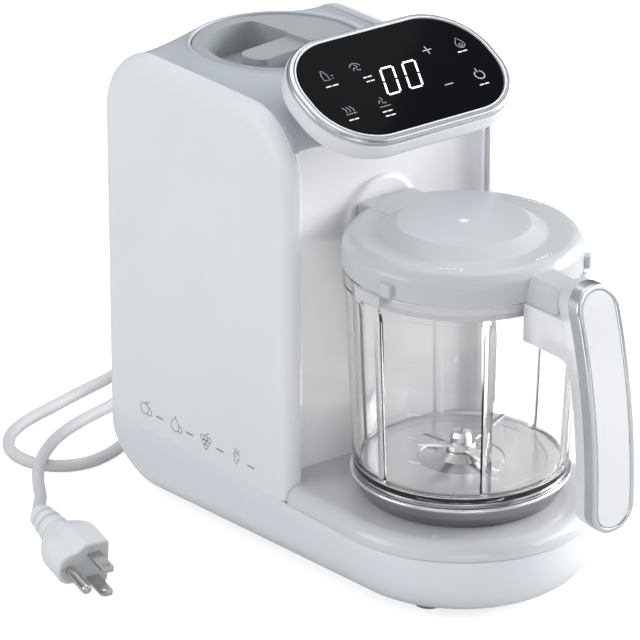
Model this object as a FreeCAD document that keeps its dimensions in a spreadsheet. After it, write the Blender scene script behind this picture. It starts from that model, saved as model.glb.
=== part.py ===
import FreeCAD, Part
import math
import os
import Sketcher
from FreeCAD import Placement, Rotation, Vector

# Baby food maker: a steaming and blending jug that stands in front of a tower
# holding the water tank, pump, boiler and electronics, with a tilted touch
# panel over the jug.  Millimetres.  +Z is up, the front faces -Y, and the
# origin is under the middle of the machine on the surface it stands on.

os.makedirs("parts", exist_ok=True)
doc = FreeCAD.newDocument("baby_food_maker")

SIZES = {
    # casing
    "half_width": 64, "rear": 147.5, "cheek_front": 5.5, "cheek_width": 8, "skin": 2.4,
    "foot_height": 4, "foot_radius": 7.5, "seam": 34.6, "seam_gap": 0.4, "tower_top": 222.4, "top_step": 2,
    "front_top_bend": 34, "rear_top_bend": 33, "rear_low_bend": 36, "edge_bend": 7.9,
    "pan_bend": 20, "stand_bend": 7, "wall_front": 17.5, "cheek_cavity": 3.6, "cover_seam": 196,
    # jug stand
    "jug_y": -42.5, "seat_top": 43, "coupling_hole": 14.4,
    # jug
    "cup_low": 43.3, "ring_low": 51, "jug_low": 56, "rim_low": 145.6, "rim_top": 155,
    "jug_low_radius": 50, "jug_top_radius": 53.6, "rim_radius": 54.9, "jug_wall": 2.6,
    # handle
    "grip_y": 145.3, "grip_z": 75, "grip_front": 293, "frame_depth": 6.6, "grip_depth": 6.2,
    "grip_half": 12.2, "grip_bottom": 58.5, "grip_top": 172.5, "arm_half": 10.5, "arm_low": 137,
    "arm_bend": 12, "arm_foot": 124.5, "arm_back": -130.4,
    # jug lid
    "lid_radius": 55.3, "lid_low": 155.3, "lid_top": 170.5, "dome_top": 175,
    "lug_front": -118.5, "lug_top": 167.5,
    # drive
    "shaft_radius": 4, "blade_shaft_radius": 3, "running_gap": 0.05, "motor_low": 9, "motor_top": 33,
    # tank
    "tank_y": 92.5, "tank_radius": 39.5, "tank_wall": 1.9, "tank_low": 120, "tank_top": 212.4,
    "tank_lid_radius": 41, "tank_lid_top": 222, "lid_recess_radius": 34,
    # steam port and latch
    "port_z": 159, "port_radius": 20.5, "port_face": 14.5, "steam_z": 163,
    # control head
    "head_y": 2.5, "head_z": 231.4, "head_tilt": 28, "head_half": 57, "head_reach": 34,
    "head_depth": 15, "glass_half": 52.5, "glass_reach": 30,
    # mains lead
    "cord_radius": 3, "exit_x": 24, "exit_z": 48, "clamp_y": 122,
}

sheet = doc.addObject("Spreadsheet::Sheet", "Sizes")
for row, (alias, number) in enumerate(SIZES.items(), 1):
    sheet.set("A%d" % row, alias)
    sheet.set("B%d" % row, str(number))
    sheet.setAlias("B%d" % row, alias)
doc.recompute()


class Size:
    """A number together with the sheet expression that gives it."""

    def __init__(self, value, text):
        self.value = value
        self.text = text

    def __add__(self, other):
        other = size(other)
        return Size(self.value + other.value, "(%s + %s)" % (self.text, other.text))

    def __sub__(self, other):
        other = size(other)
        return Size(self.value - other.value, "(%s - %s)" % (self.text, other.text))

    def __mul__(self, other):
        other = size(other)
        return Size(self.value * other.value, "(%s * %s)" % (self.text, other.text))

    def __neg__(self):
        return Size(-self.value, "(-1 * %s)" % self.text)


def size(number):
    """The number as a Size."""
    if isinstance(number, Size):
        return number
    return Size(float(number), "(%s)" % number)


class Dimensions:
    """The sheet's cells as Sizes, by name."""

    def __getattr__(self, alias):
        return Size(sheet.get(alias), "Sizes.%s" % alias)


dim = Dimensions()
nodes = []

X_AXIS = Rotation(Vector(0, 1, 0), 90)     # turns +Z to +X
Y_AXIS = Rotation(Vector(1, 0, 0), -90)    # turns +Z to +Y
UPRIGHT = Rotation()


def bind(feature, **sizes):
    """Bind a feature's properties to the sheet."""
    for name, value in sizes.items():
        setattr(feature, name, size(value).value)
        feature.setExpression(name, size(value).text)


def put(feature, x, y, z, turn=UPRIGHT):
    """Place a feature, with its position bound to the sheet."""
    base = Vector(size(x).value, size(y).value, size(z).value)
    feature.Placement = Placement(base, turn)
    for letter, value in zip("xyz", (x, y, z)):
        feature.setExpression("Placement.Base.%s" % letter, size(value).text)


def body(name):
    return doc.addObject("PartDesign::Body", name)


def block(part, x, y, z, cut=False):
    """A box in a body between the limits given on each axis."""
    kind = "PartDesign::SubtractiveBox" if cut else "PartDesign::AdditiveBox"
    feature = part.newObject(kind, "Block")
    lows = [size(limits[0]) for limits in (x, y, z)]
    spans = [size(limits[1]) - low for limits, low in zip((x, y, z), lows)]
    bind(feature, Length=spans[0], Width=spans[1], Height=spans[2])
    put(feature, *lows)
    return feature


def rod(part, radius, start, length, turn=UPRIGHT, cut=False):
    """A cylinder in a body from a start point along the turned Z axis."""
    kind = "PartDesign::SubtractiveCylinder" if cut else "PartDesign::AdditiveCylinder"
    feature = part.newObject(kind, "Rod")
    bind(feature, Radius=radius, Height=length)
    put(feature, *start, turn)
    return feature


def soften(part, radius, wanted):
    """Round the edges of a body that the function wanted picks."""
    doc.recompute()
    base = part.Tip
    names = ["Edge%d" % number for number, edge in enumerate(base.Shape.Edges, 1) if wanted(edge)]
    feature = part.newObject("PartDesign::Fillet", "Rounding")
    feature.Base = (base, names)
    bind(feature, Radius=radius)
    return feature


def along(axis, **place):
    """A test for straight edges along an axis, at the given coordinates."""
    direction = {"x": Vector(1, 0, 0), "y": Vector(0, 1, 0), "z": Vector(0, 0, 1)}[axis]

    def wanted(edge):
        if edge.Curve.TypeId != "Part::GeomLine":
            return False
        if abs(edge.Curve.Direction.dot(direction)) < 0.999:
            return False
        middle = edge.CenterOfMass
        return all(abs(getattr(middle, key) - size(value).value) < 0.01 for key, value in place.items())
    return wanted


def circle_at(radius, z):
    """A test for level circles of a radius at a height."""
    def wanted(edge):
        if edge.Curve.TypeId != "Part::GeomCircle":
            return False
        curve = edge.Curve
        return abs(curve.Radius - size(radius).value) < 0.01 and abs(curve.Center.z - size(z).value) < 0.01
    return wanted


def in_plane(axis, value):
    """A test for edges that lie in the plane where an axis has a value."""
    def wanted(edge):
        box = edge.BoundBox
        low, high = getattr(box, axis.upper() + "Min"), getattr(box, axis.upper() + "Max")
        return abs(low - size(value).value) < 0.01 and abs(high - size(value).value) < 0.01
    return wanted


def turned(name, outline, x=0, y=0, z=0, turn=UPRIGHT):
    """A body of revolution from (radius, height) points, closed in order."""
    part = body(name)
    sketch = part.newObject("Sketcher::SketchObject", "Profile")
    plane = next(item for item in part.Origin.OriginFeatures if item.Role == "XZ_Plane")
    sketch.AttachmentSupport = [(plane, "")]
    sketch.MapMode = "FlatFace"
    points = [(size(radius), size(height)) for radius, height in outline]
    count = len(points)
    for index, (radius, height) in enumerate(points):
        next_radius, next_height = points[(index + 1) % count]
        start = Vector(radius.value, height.value, 0)
        end = Vector(next_radius.value, next_height.value, 0)
        sketch.addGeometry(Part.LineSegment(start, end), False)
    for index in range(count):
        sketch.addConstraint(Sketcher.Constraint("Coincident", index, 2, (index + 1) % count, 1))
    for index, point in enumerate(points):
        for kind, value in zip(("DistanceX", "DistanceY"), point):
            number = sketch.addConstraint(Sketcher.Constraint(kind, -1, 1, index, 1, value.value))
            sketch.setExpression("Constraints[%d]" % number, value.text)
    spin = part.newObject("PartDesign::Revolution", "Turned")
    spin.Profile = sketch
    spin.ReferenceAxis = (sketch, ["V_Axis"])
    spin.Angle = 360
    put(part, x, y, z, turn)
    return part


def ring(name, inner, outer, low, high, x=0, y=0, z=0, turn=UPRIGHT):
    """A plain ring."""
    return turned(name, [(inner, low), (outer, low), (outer, high), (inner, high)], x, y, z, turn)


def cut(name, base, *tools):
    """One solid less some others."""
    for index, tool in enumerate(tools):
        last = index == len(tools) - 1
        feature = doc.addObject("Part::Cut", name if last else name + "_step")
        feature.Base = base
        feature.Tool = tool
        base = feature
    return base


def common(name, first, second):
    feature = doc.addObject("Part::Common", name)
    feature.Base = first
    feature.Tool = second
    return feature


def join(name, *pieces):
    """Several solids as one object, fused where they touch."""
    feature = doc.addObject("Part::MultiFuse", name)
    feature.Shapes = list(pieces)
    return feature


def node(feature, name):
    """Mark an object as one of the parts to be written."""
    feature.Label = name
    nodes.append(feature)
    return feature


def rounded_route(points):
    """Straight runs joined by tangent arcs, and the arcs' radii."""
    points = [Vector(*point) for point in points]
    edges = []
    radii = []
    start = points[0]
    for before, corner, after in zip(points, points[1:], points[2:]):
        back = (before - corner).normalize()
        ahead = (after - corner).normalize()
        turn = math.pi - back.getAngle(ahead)
        shorter = min((before - corner).Length, (after - corner).Length)
        trim = 0.45 * shorter
        radii.append(trim / math.tan(turn / 2))
        leave = corner + back * trim
        arrive = corner + ahead * trim
        inward = (back + ahead).normalize()
        centre = corner + inward * (radii[-1] / math.cos(turn / 2))
        middle = centre - inward * radii[-1]
        edges.append(Part.LineSegment(start, leave).toShape())
        edges.append(Part.Arc(leave, middle, arrive).toShape())
        start = arrive
    edges.append(Part.LineSegment(start, points[-1]).toShape())
    return Part.Wire(edges), radii


def tube_along(points, radius):
    """A round tube along a route of runs and arcs."""
    path, radii = rounded_route(points)
    heading = Vector(*points[1]) - Vector(*points[0])
    section = Part.Wire(Part.makeCircle(radius, Vector(*points[0]), heading))
    tube = path.makePipeShell([section], True, False)
    expected = math.pi * radius ** 2 * path.Length
    print("route %.0f mm, smallest radius %.1f mm, volume ratio %.4f"
          % (path.Length, min(radii), tube.Volume / expected))
    return tube


def drawn(name, shape):
    """A part whose shape is made directly."""
    feature = doc.addObject("Part::Feature", name)
    feature.Shape = shape
    feature.Placement = Placement()
    return node(feature, name)


# ---------------------------------------------------------------- casing

def tower_form(name, x, inset, front, top, low=4):
    """The tower's side outline, between two x limits and shrunk by an inset."""
    part = body(name)
    high = dim.tower_top - top - inset
    back = dim.rear - top - inset
    front_y = size(front) + inset
    low_z = size(low) + inset
    block(part, x, (front_y, back), (low_z, high))
    soften(part, dim.front_top_bend - top - inset, along("x", y=front_y, z=high))
    soften(part, dim.rear_top_bend - top - inset, along("x", y=back, z=high))
    soften(part, dim.rear_low_bend - top - inset, along("x", y=back, z=low_z))
    return part


def base_form(name, inset, high):
    """The low casing: a half round front, straight sides and a bent rear."""
    low = dim.foot_height + inset
    radius = dim.half_width - inset
    plan = body(name + "_plan")
    rod(plan, radius, (0, dim.jug_y, low), size(high) - low)
    block(plan, (-radius, radius), (dim.jug_y, dim.rear + 20), (low, high))
    soften(plan, dim.pan_bend - inset, lambda edge: in_plane("z", low)(edge) and not along("x")(edge))
    profile = body(name + "_profile")
    block(profile, (-radius, radius), (dim.jug_y * 4, dim.rear - inset), (low, size(high) + 30))
    soften(profile, dim.rear_low_bend - inset, along("x", y=dim.rear - inset, z=low))
    soften(profile, dim.edge_bend, lambda edge: (
        in_plane("x", radius)(edge) or in_plane("x", -radius)(edge)) and edge.BoundBox.YMax > 100
        and not along("y", z=size(high) + 30)(edge))
    return common(name, plan, profile)


def make_base_pan():
    """The tray that closes the bottom, with holes for air under the motor."""
    high = dim.seam - dim.seam_gap * 0.5
    outer = base_form("pan_outer", 0, high)
    inner = base_form("pan_inner", dim.skin, high + 5)
    vents = body("pan_vents")
    for turn in range(6):
        angle = math.radians(60 * turn)
        rod(vents, 3, (14 * math.cos(angle), dim.jug_y + 14 * math.sin(angle), 0), 8)
    rod(vents, 2.5, (0, dim.jug_y, 0), 8)
    for turn in range(6):
        angle = math.radians(60 * turn)
        block(vents, (7 * math.cos(angle) - 7.5, 7 * math.cos(angle) + 7.5),
              (dim.jug_y + 7 * math.sin(angle) - 0.6, dim.jug_y + 7 * math.sin(angle) + 0.6), (0, 8))
    return node(cut("base_pan", outer, inner, vents), "base_pan")


def make_feet():
    """Four rubber feet under the pan."""
    feet = []
    outline = [(0, 0), (dim.foot_radius - 1, 0), (dim.foot_radius, 1),
               (dim.foot_radius, dim.foot_height), (0, dim.foot_height)]
    for x, y in ((-33, -60), (33, -60), (-43, 103), (43, 103)):
        feet.append(turned("foot", outline, x, y))
    return node(join("rubber_feet", *feet), "rubber_feet")


def make_base_cover():
    """The stand the jug sits on, with a hole for the drive coupling."""
    low = dim.seam + dim.seam_gap * 0.5
    shells = []
    for name, inset in (("stand_outer", size(0)), ("stand_inner", dim.skin)):
        form = body(name)
        radius = dim.half_width - inset
        bottom = low - inset * 4
        rod(form, radius, (0, dim.jug_y, bottom), dim.seat_top - inset - bottom)
        block(form, (-radius, radius), (dim.jug_y, dim.wall_front + 20), (bottom, dim.seat_top - inset))
        high = in_plane("z", dim.seat_top - inset)
        soften(form, dim.stand_bend - inset, lambda edge, high=high: high(edge) and not along("x")(edge))
        shells.append(form)
    bore = body("stand_bore")
    rod(bore, dim.coupling_hole, (0, dim.jug_y, 20), 40)
    block(bore, (-80, 80), (dim.wall_front, 60), (20, 60))
    for low_x, high_x in ((-80, -55.9), (55.9, 80)):
        block(bore, (low_x, high_x), (dim.cheek_front - 0.1, 60), (20, 60))
    return node(cut("base_cover", *shells, bore), "base_cover")


def make_side_cover(name, side):
    """One side of the tower: a tray-shaped moulding with rounded edges."""
    outer_x, inner_x = dim.half_width * side, (dim.half_width - dim.cheek_width) * side
    limits = (inner_x, outer_x) if side > 0 else (outer_x, inner_x)
    outer = tower_form(name + "_outer", limits, 0, dim.cheek_front, 0)
    soften(outer, dim.edge_bend, in_plane("x", outer_x))
    skin_x = (dim.half_width - dim.skin) * side
    open_x = (dim.half_width - dim.cheek_width - 1) * side
    limits = (open_x, skin_x) if side > 0 else (skin_x, open_x)
    cavity = tower_form(name + "_cavity", limits, dim.cheek_cavity, dim.cheek_front, 0)
    waste = body(name + "_waste")
    block(waste, (-80, 80), (0, 160), (0, dim.seam + dim.seam_gap * 0.5))
    return node(cut(name, outer, cavity, waste), name)


def make_centre_shell():
    """The top and rear covers, cut from one shell between the side covers."""
    half = dim.half_width - dim.cheek_width - 0.2
    front = 8
    shells = []
    for name in ("top", "rear"):
        outer = tower_form(name + "_shell_outer", (-half, half), 0, front, dim.top_step)
        inner = tower_form(name + "_shell_inner", (-half - 1, half + 1), dim.skin, front, dim.top_step)
        waste = body(name + "_waste")
        if name == "top":
            block(waste, (-80, 80), (-20, 160), (0, dim.cover_seam))
            rod(waste, 43.2, (0, dim.tank_y, 180), 60)
            block(waste, (-45.2, 45.2), (0, 38.2), (198, 240))
        else:
            block(waste, (-80, 80), (-20, 110), (0, 260))
            block(waste, (-80, 80), (-20, 160), (dim.cover_seam - 0.2, 260))
            block(waste, (-80, 80), (-20, 160), (0, dim.seam + dim.seam_gap * 0.5))
            rod(waste, 5.05, (dim.exit_x, 130, dim.exit_z), 30, Y_AXIS)
            for index in range(7):
                block(waste, (-24 + index * 8, -20 + index * 8), (130, 160), (150, 175))
        shells.append(node(cut(name + "_cover", outer, inner, waste), name + "_cover"))
    return shells


def make_front_panel():
    """The glossy wall behind the jug, curving forward to the side covers."""
    half = dim.half_width - dim.cheek_width - 0.2
    part = body("front_panel")
    low = dim.seat_top + 0.1
    block(part, (-half, half), (8, dim.wall_front + dim.skin), (low, dim.cover_seam - 0.2))
    block(part, (-half + dim.skin, half - dim.skin), (0, dim.wall_front), (low - 1, 200), cut=True)
    soften(part, 9, along("z", y=dim.wall_front))
    soften(part, 11, along("z", y=dim.wall_front + dim.skin))
    rod(part, 7, (0, 10, dim.steam_z), 20, Y_AXIS, cut=True)
    rod(part, 2.6, (12, 10, dim.steam_z), 20, Y_AXIS, cut=True)
    return node(part, "front_panel")


POSTS = [(-42, 28), (42, 28), (-42, 118), (42, 118)]


def make_chassis():
    """The plate inside the tower that carries the works."""
    part = body("chassis_plate")
    block(part, (-52, 52), (22, 138), (38, 40.4))
    for x, y in POSTS:
        rod(part, 3.5, (x, y, 7.7), 31)
    return node(part, "chassis_plate")


def make_screws():
    """Screws that hold the base pan to the posts of the chassis plate."""
    screws = []
    for x, y in POSTS:
        screws.append(turned("screw", [(0, 40.5), (3.2, 40.5), (3.2, 42.3), (1.5, 43.5), (0, 43.5)], x, y))
    return node(join("cover_screws", *screws), "cover_screws")


# ---------------------------------------------------------------- control head

def head_turn():
    return Rotation(Vector(1, 0, 0), SIZES["head_tilt"])


def head_slab(name, half, reach, bend, low, high):
    """A rounded plate in the tilted plane of the control head."""
    part = body(name)
    block(part, (-size(half), half), (-size(reach), reach), (low, high))
    soften(part, bend, along("z"))
    put(part, 0, dim.head_y, dim.head_z, head_turn())
    part.setExpression("Placement.Rotation.Angle", "Sizes.head_tilt")
    return part


def make_head():
    """The tilted control head: housing, bezel, glass and display board."""
    shell = head_slab("head_shell", dim.head_half, dim.head_reach, 31, -dim.head_depth, -3)
    soften(shell, 7, in_plane("z", -dim.head_depth))
    hollow = head_slab("head_hollow", dim.head_half - dim.skin, dim.head_reach - dim.skin, 28.6,
                       dim.skin - dim.head_depth, 0)
    tray = cut("head_tray", shell, hollow)
    neck = body("head_neck")
    block(neck, (-45, 45), (10, 38), (200, 240))
    soften(neck, 8, along("z"))
    above = head_slab("head_above", 90, 80, 20, -dim.head_depth + 1, 60)
    under = tower_form("head_under", (-60, 60), 0, 8, dim.top_step)
    foot = cut("head_foot", neck, above, under)
    node(join("head_housing", tray, foot), "head_housing")

    outer = head_slab("bezel_outer", dim.glass_half + 4, dim.glass_reach + 3.5, 30.5, -3, 0.6)
    soften(outer, 1.2, in_plane("z", 0.6))
    inner = head_slab("bezel_inner", dim.glass_half + 0.1, dim.glass_reach + 0.1, 28.1, -5, 5)
    node(cut("head_bezel", outer, inner), "head_bezel")
    node(head_slab("touch_glass", dim.glass_half, dim.glass_reach, 28, -2, 0), "touch_glass")
    board = head_slab("display_board", 47, 25, 8, -6.5, -4.9)
    node(board, "display_board")


# ---------------------------------------------------------------- steam works

def make_steam_port():
    """The round boss that the jug lid's neck meets, its seal and nozzle."""
    length = dim.wall_front - dim.port_face - 0.05
    boss = body("port_boss")
    rod(boss, dim.port_radius, (0, dim.port_face, dim.port_z), length, Y_AXIS)
    soften(boss, 2.4, in_plane("y", dim.port_face))
    rod(boss, 7, (0, 0, dim.steam_z), 40, Y_AXIS, cut=True)
    rod(boss, 2.6, (12, 0, dim.steam_z), 40, Y_AXIS, cut=True)
    node(boss, "steam_port")
    node(ring("steam_seal", 4.5, 6.9, 0, 5.2, 0, dim.port_face, dim.steam_z, Y_AXIS), "steam_seal")
    nozzle = turned("steam_nozzle", [
        (2.6, 0.4), (4.4, 0.4), (4.4, 6), (6, 6), (6, 8), (3.5, 8), (3.5, 16), (2.6, 16)],
        0, dim.port_face, dim.steam_z, Y_AXIS)
    node(nozzle, "steam_nozzle")


def make_latch():
    """The sprung pin in the port that feels the lid, and its switch."""
    pin = turned("interlock_plunger", [(0, -1.3), (1.4, -1.3), (2.3, -0.4), (2.3, 12), (0, 12)],
                 12, dim.port_face, dim.steam_z, Y_AXIS)
    node(pin, "interlock_plunger")
    switch = body("interlock_switch")
    block(switch, (6, 18), (28.5, 35), (153, 171))
    node(switch, "interlock_switch")


def make_tank():
    """The water tank under its lid, its outlet valve and the collar round it."""
    wall = dim.tank_wall
    tank = turned("water_tank", [
        (4, dim.tank_low), (dim.tank_radius, dim.tank_low), (dim.tank_radius, dim.tank_top - 2),
        (dim.tank_lid_radius, dim.tank_top - 2), (dim.tank_lid_radius, dim.tank_top),
        (dim.tank_radius - wall, dim.tank_top), (dim.tank_radius - wall, dim.tank_low + 2.2),
        (4, dim.tank_low + 2.2)], 0, dim.tank_y)
    node(tank, "water_tank")
    valve = turned("tank_valve", [
        (1.8, 110), (3.4, 110), (3.4, 119.9), (3.95, 119.9), (3.95, 124), (1.8, 124)], 0, dim.tank_y)
    node(valve, "tank_valve")
    collar = turned("tank_collar", [
        (dim.tank_lid_radius + 0.35, dim.tank_top - 4), (43.1, dim.tank_top - 4),
        (43.1, dim.tower_top - 1.9), (46.5, dim.tower_top - 1.9), (46, dim.tower_top - 0.8),
        (44, dim.tower_top + 0.4), (42.6, dim.tower_top + 0.8),
        (dim.tank_lid_radius + 0.35, dim.tower_top + 0.2)], 0, dim.tank_y)
    node(collar, "tank_collar")


def make_tank_lid():
    """The tank lid: a ring, a deep recess and a tongue to grip in it."""
    top = dim.tank_lid_top
    bowl = turned("lid_disc", [
        (0, top - 17), (36.8, top - 17), (36.8, dim.tank_top + 0.4),
        (dim.tank_lid_radius, dim.tank_top + 0.4),
        (dim.tank_lid_radius, top), (0, top)], 0, dim.tank_y)
    soften(bowl, 1, circle_at(dim.tank_lid_radius, top))
    recess = body("lid_recess")
    rod(recess, dim.lid_recess_radius, (0, 0, top - 14.6), 20)
    block(recess, (-20, 50), (-8, 8), (200, 240), cut=True)
    block(recess, (14, 50), (-40, 40), (200, 240), cut=True)
    soften(recess, 6, lambda edge: along("z")(edge) and (
        edge.CenterOfMass.x < -10 or abs(edge.CenterOfMass.y) > 20))
    put(recess, 0, dim.tank_y, 0, Rotation(Vector(0, 0, 1), 7))
    groove = ring("lid_groove", 35.9, 40, top - 14, top - 11.5, 0, dim.tank_y)
    tongue = body("lid_tongue_top")
    block(tongue, (-30, 13), (-20, 20), (top - 2, top + 7))
    put(tongue, 0, dim.tank_y, 0, Rotation(Vector(0, 0, 1), 7))
    keep = turned("lid_keep", [(0, 200), (33.9, 200), (33.9, 240), (0, 240)], 0, dim.tank_y)
    lowered = common("lid_lowered", tongue, keep)
    node(cut("tank_lid", bowl, recess, groove, lowered), "tank_lid")
    node(ring("tank_lid_seal", 35.95, 37.25, top - 13.9, top - 11.6, 0, dim.tank_y), "tank_lid_seal")


def make_pump_and_boiler():
    """The pump, boiler and hoses that turn tank water into steam."""
    boiler = turned("boiler_body", [
        (0, 41), (16, 41), (16, 44), (22, 44), (22, 78), (24, 78), (24, 80),
        (19.5, 80), (19.5, 46.5), (0, 46.5)],
        -24, 58)
    node(boiler, "boiler_body")
    cover = turned("boiler_cover", [
        (0, 84), (2.4, 84), (2.4, 94), (3.4, 94), (3.4, 86.5), (18, 86.5), (24, 82.2),
        (24, 80.1), (18, 80.1), (16, 83), (0, 83)], -24, 58)
    node(cover, "boiler_cover")
    node(turned("heating_element", [(10, 47), (13, 47), (13, 52), (10, 52)], -24, 58), "heating_element")
    stat = body("thermostat")
    rod(stat, 6, (-24, 58 - 30, 60), 8, Y_AXIS)
    node(stat, "thermostat")
    pump = body("water_pump")
    block(pump, (12, 40), (36, 62), (41, 58))
    rod(pump, 11, (26, 49, 58), 30)
    rod(pump, 3, (26, 62, 50), 8, Y_AXIS)
    rod(pump, 3, (-2.6, 49, 50), 15, X_AXIS)
    node(pump, "water_pump")
    tank_y = SIZES["tank_y"]
    steam_y = SIZES["port_face"] + 16.2
    drawn("water_hose", tube_along(
        [(0, tank_y, 109.8), (0, tank_y, 92), (7, tank_y - 1, 74), (18, tank_y - 6, 57),
         (25, tank_y - 12, 50.5), (26, 70.2, 50)], 3))
    drawn("steam_hose", tube_along(
        [(-24, 58, 94.2), (-24, 57, 112), (-20, 52, 130), (-12, 47, 146), (-4, 44, 157),
         (0, 38, 162.5), (0, steam_y, 163)], 3.4))


def make_electronics():
    """The power board with its parts, upright beside the tank."""
    board = body("power_board")
    block(board, (45, 46.6), (56, 128), (46, 116))
    node(board, "power_board")
    parts = body("board_parts")
    block(parts, (46.7, 52), (62, 122), (52, 60))
    block(parts, (46.7, 51), (66, 80), (60, 110))
    rod(parts, 3, (46.7, 100, 59), 5, X_AXIS)
    block(parts, (46.7, 50), (108, 122), (60, 104))
    node(parts, "board_parts")


# ---------------------------------------------------------------- drive

def make_motor():
    """The motor under the jug, with its bracket, bushes, shaft and coupling."""
    can = turned("motor_can", [
        (6, dim.motor_low), (27, dim.motor_low), (27, dim.motor_top),
        (6, dim.motor_top), (6, dim.motor_top - 2),
        (25.4, dim.motor_top - 2), (25.4, dim.motor_low + 2), (6, dim.motor_low + 2)], 0, dim.jug_y)
    node(can, "motor_can")
    bush = dim.shaft_radius + dim.running_gap
    low = ring("bush_low", bush, 5.95, dim.motor_low, dim.motor_low + 3, 0, dim.jug_y)
    high = ring("bush_high", bush, 5.95, dim.motor_top - 3, dim.motor_top, 0, dim.jug_y)
    node(join("motor_bushes", low, high), "motor_bushes")
    bracket = body("motor_bracket")
    rod(bracket, 31, (0, dim.jug_y, 33.1), 2)
    block(bracket, (-50, 50), (dim.jug_y - 7, dim.jug_y + 7), (33.1, 35.1))
    for x in (-44, 44):
        rod(bracket, 4, (x, dim.jug_y, 33.1), 7.4)
    rod(bracket, 7, (0, dim.jug_y, 20), 30, cut=True)
    node(bracket, "motor_bracket")
    rotor = ring("motor_rotor", dim.shaft_radius, 22, 13, 29, 0, dim.jug_y)
    node(rotor, "motor_rotor")
    shaft = turned("motor_shaft", [
        (0, 9.5), (dim.shaft_radius, 9.5), (dim.shaft_radius, 40), (0, 40)], 0, dim.jug_y)
    node(shaft, "motor_shaft")
    dog = body("drive_coupling")
    rod(dog, 13.8, (0, dim.jug_y, 40.1), 5.9)
    rod(dog, 7, (0, dim.jug_y, 36), 4.1)
    rod(dog, dim.shaft_radius, (0, dim.jug_y, 30), 10.1, cut=True)
    taper(dog, 46, False)
    node(dog, "drive_coupling")


def taper(part, low, cut_away):
    """A square dog with shallow flanks, 3.5 high, on the jug's axis."""
    kind = "PartDesign::SubtractiveWedge" if cut_away else "PartDesign::AdditiveWedge"
    feature = part.newObject(kind, "Dog")
    wide, narrow, high = 9.4, 4.4, 3.5
    bind(feature, Xmin=-wide, Xmax=wide, Zmin=-wide, Zmax=wide, Ymin=0, Ymax=high)
    bind(feature, X2min=-narrow, X2max=narrow, Z2min=-narrow, Z2max=narrow)
    put(feature, 0, dim.jug_y, low, Rotation(Vector(1, 0, 0), 90))


def make_blades():
    """The jug's driven coupling, blade shaft and four blades."""
    cup = body("driven_coupling")
    rod(cup, 14, (0, dim.jug_y, 46.4), 6.2)
    taper(cup, 46.39, True)
    rod(cup, dim.blade_shaft_radius, (0, dim.jug_y, 50.6), 5, cut=True)
    node(cup, "driven_coupling")
    shaft = turned("blade_shaft", [
        (0, 50.7), (dim.blade_shaft_radius, 50.7), (dim.blade_shaft_radius, 70), (0, 70)], 0, dim.jug_y)
    node(shaft, "blade_shaft")
    rim = dim.blade_shaft_radius.value
    y = SIZES["jug_y"]
    blades = []
    for turn, lift in ((0, 1), (90, -0.6), (180, 1), (270, -0.6)):
        low = Part.makePolygon([Vector(*point) for point in (
            (2, -3.4, 64.6), (2, 3.4, 64.6), (2, 3.4, 65.8), (2, -3.4, 65.8), (2, -3.4, 64.6))])
        rise = 7 * lift
        high = Part.makePolygon([Vector(*point) for point in (
            (26, -0.6, 64.6 + rise), (26, 0.8, 64.6 + rise), (26, 0.8, 65.6 + rise),
            (26, -0.6, 65.6 + rise), (26, -0.6, 64.6 + rise))])
        blade = Part.makeLoft([low, high], True, True)
        blade.rotate(Vector(), Vector(0, 0, 1), turn)
        blade.translate(Vector(0, y, 0))
        blades.append(blade)
    hub = Part.makeCylinder(7, 3.4, Vector(0, y, 63.4))
    bore = Part.makeCylinder(rim, 20, Vector(0, y, 55))
    drawn("blade_set", hub.multiFuse(blades).cut(bore))
    nut = turned("blade_nut", [
        (rim, 66.9), (5, 66.9), (5, 69.5), (4, 71.6), (0, 72.4), (0, 70.1), (rim, 70.1)], 0, dim.jug_y)
    node(nut, "blade_nut")


# ---------------------------------------------------------------- jug

def make_jug():
    """The clear jug, its steel ring, its foot and the blade bearing."""
    wall = dim.jug_wall
    jug = turned("jug_shell", [
        (20, dim.jug_low), (dim.jug_low_radius, dim.jug_low), (dim.jug_top_radius, dim.rim_low),
        (dim.rim_radius, dim.rim_low), (dim.rim_radius, dim.rim_top),
        (dim.jug_top_radius - wall, dim.rim_top),
        (dim.jug_top_radius - wall, dim.rim_low), (dim.jug_low_radius - wall, dim.jug_low + 2.4),
        (20, dim.jug_low + 2.4)], 0, dim.jug_y)
    hooks = body("jug_hooks")
    for angle in (-190, -70, 50):
        hook_at(hooks, angle, 148, 160.5)
    bowl = turned("jug_hook_waste", [(0, 140), (54.8, 140), (54.8, 155), (55.7, 155), (55.7, 170), (0, 170)],
                  0, dim.jug_y)
    lugs = cut("jug_lugs", hooks, bowl)
    node(join("jug_body", jug, lugs), "jug_body")
    node(ring("jug_ring", 46.1, 51.5, dim.ring_low + 0.1, dim.jug_low - 0.1, 0, dim.jug_y), "jug_ring")
    foot = turned("jug_base", [
        (15, dim.cup_low), (49, dim.cup_low), (50.5, dim.cup_low + 1.5), (50.5, dim.ring_low),
        (46, dim.ring_low), (46, 55.9), (10.1, 55.9), (10.1, 53.5), (43.5, 53.5),
        (43.5, 46), (15, 46)], 0, dim.jug_y)
    node(foot, "jug_base")
    rim = dim.blade_shaft_radius + dim.running_gap
    bearing = turned("blade_bearing", [
        (rim, 53.1), (10, 53.1), (10, 56), (19.9, 56), (19.9, 58.3), (12, 60),
        (9, 63), (rim, 63)], 0, dim.jug_y)
    node(bearing, "blade_bearing")


def hook_at(part, angle, low, high):
    """A small block on the rim at an angle round the jug's axis."""
    feature = part.newObject("PartDesign::AdditiveBox", "Hook")
    bind(feature, Length=6, Width=10, Height=size(high) - low)
    turn = Rotation(Vector(0, 0, 1), angle)
    corner = turn.multVec(Vector(53, -5, 0))
    put(feature, corner.x, dim.jug_y + corner.y, low, turn)


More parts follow.
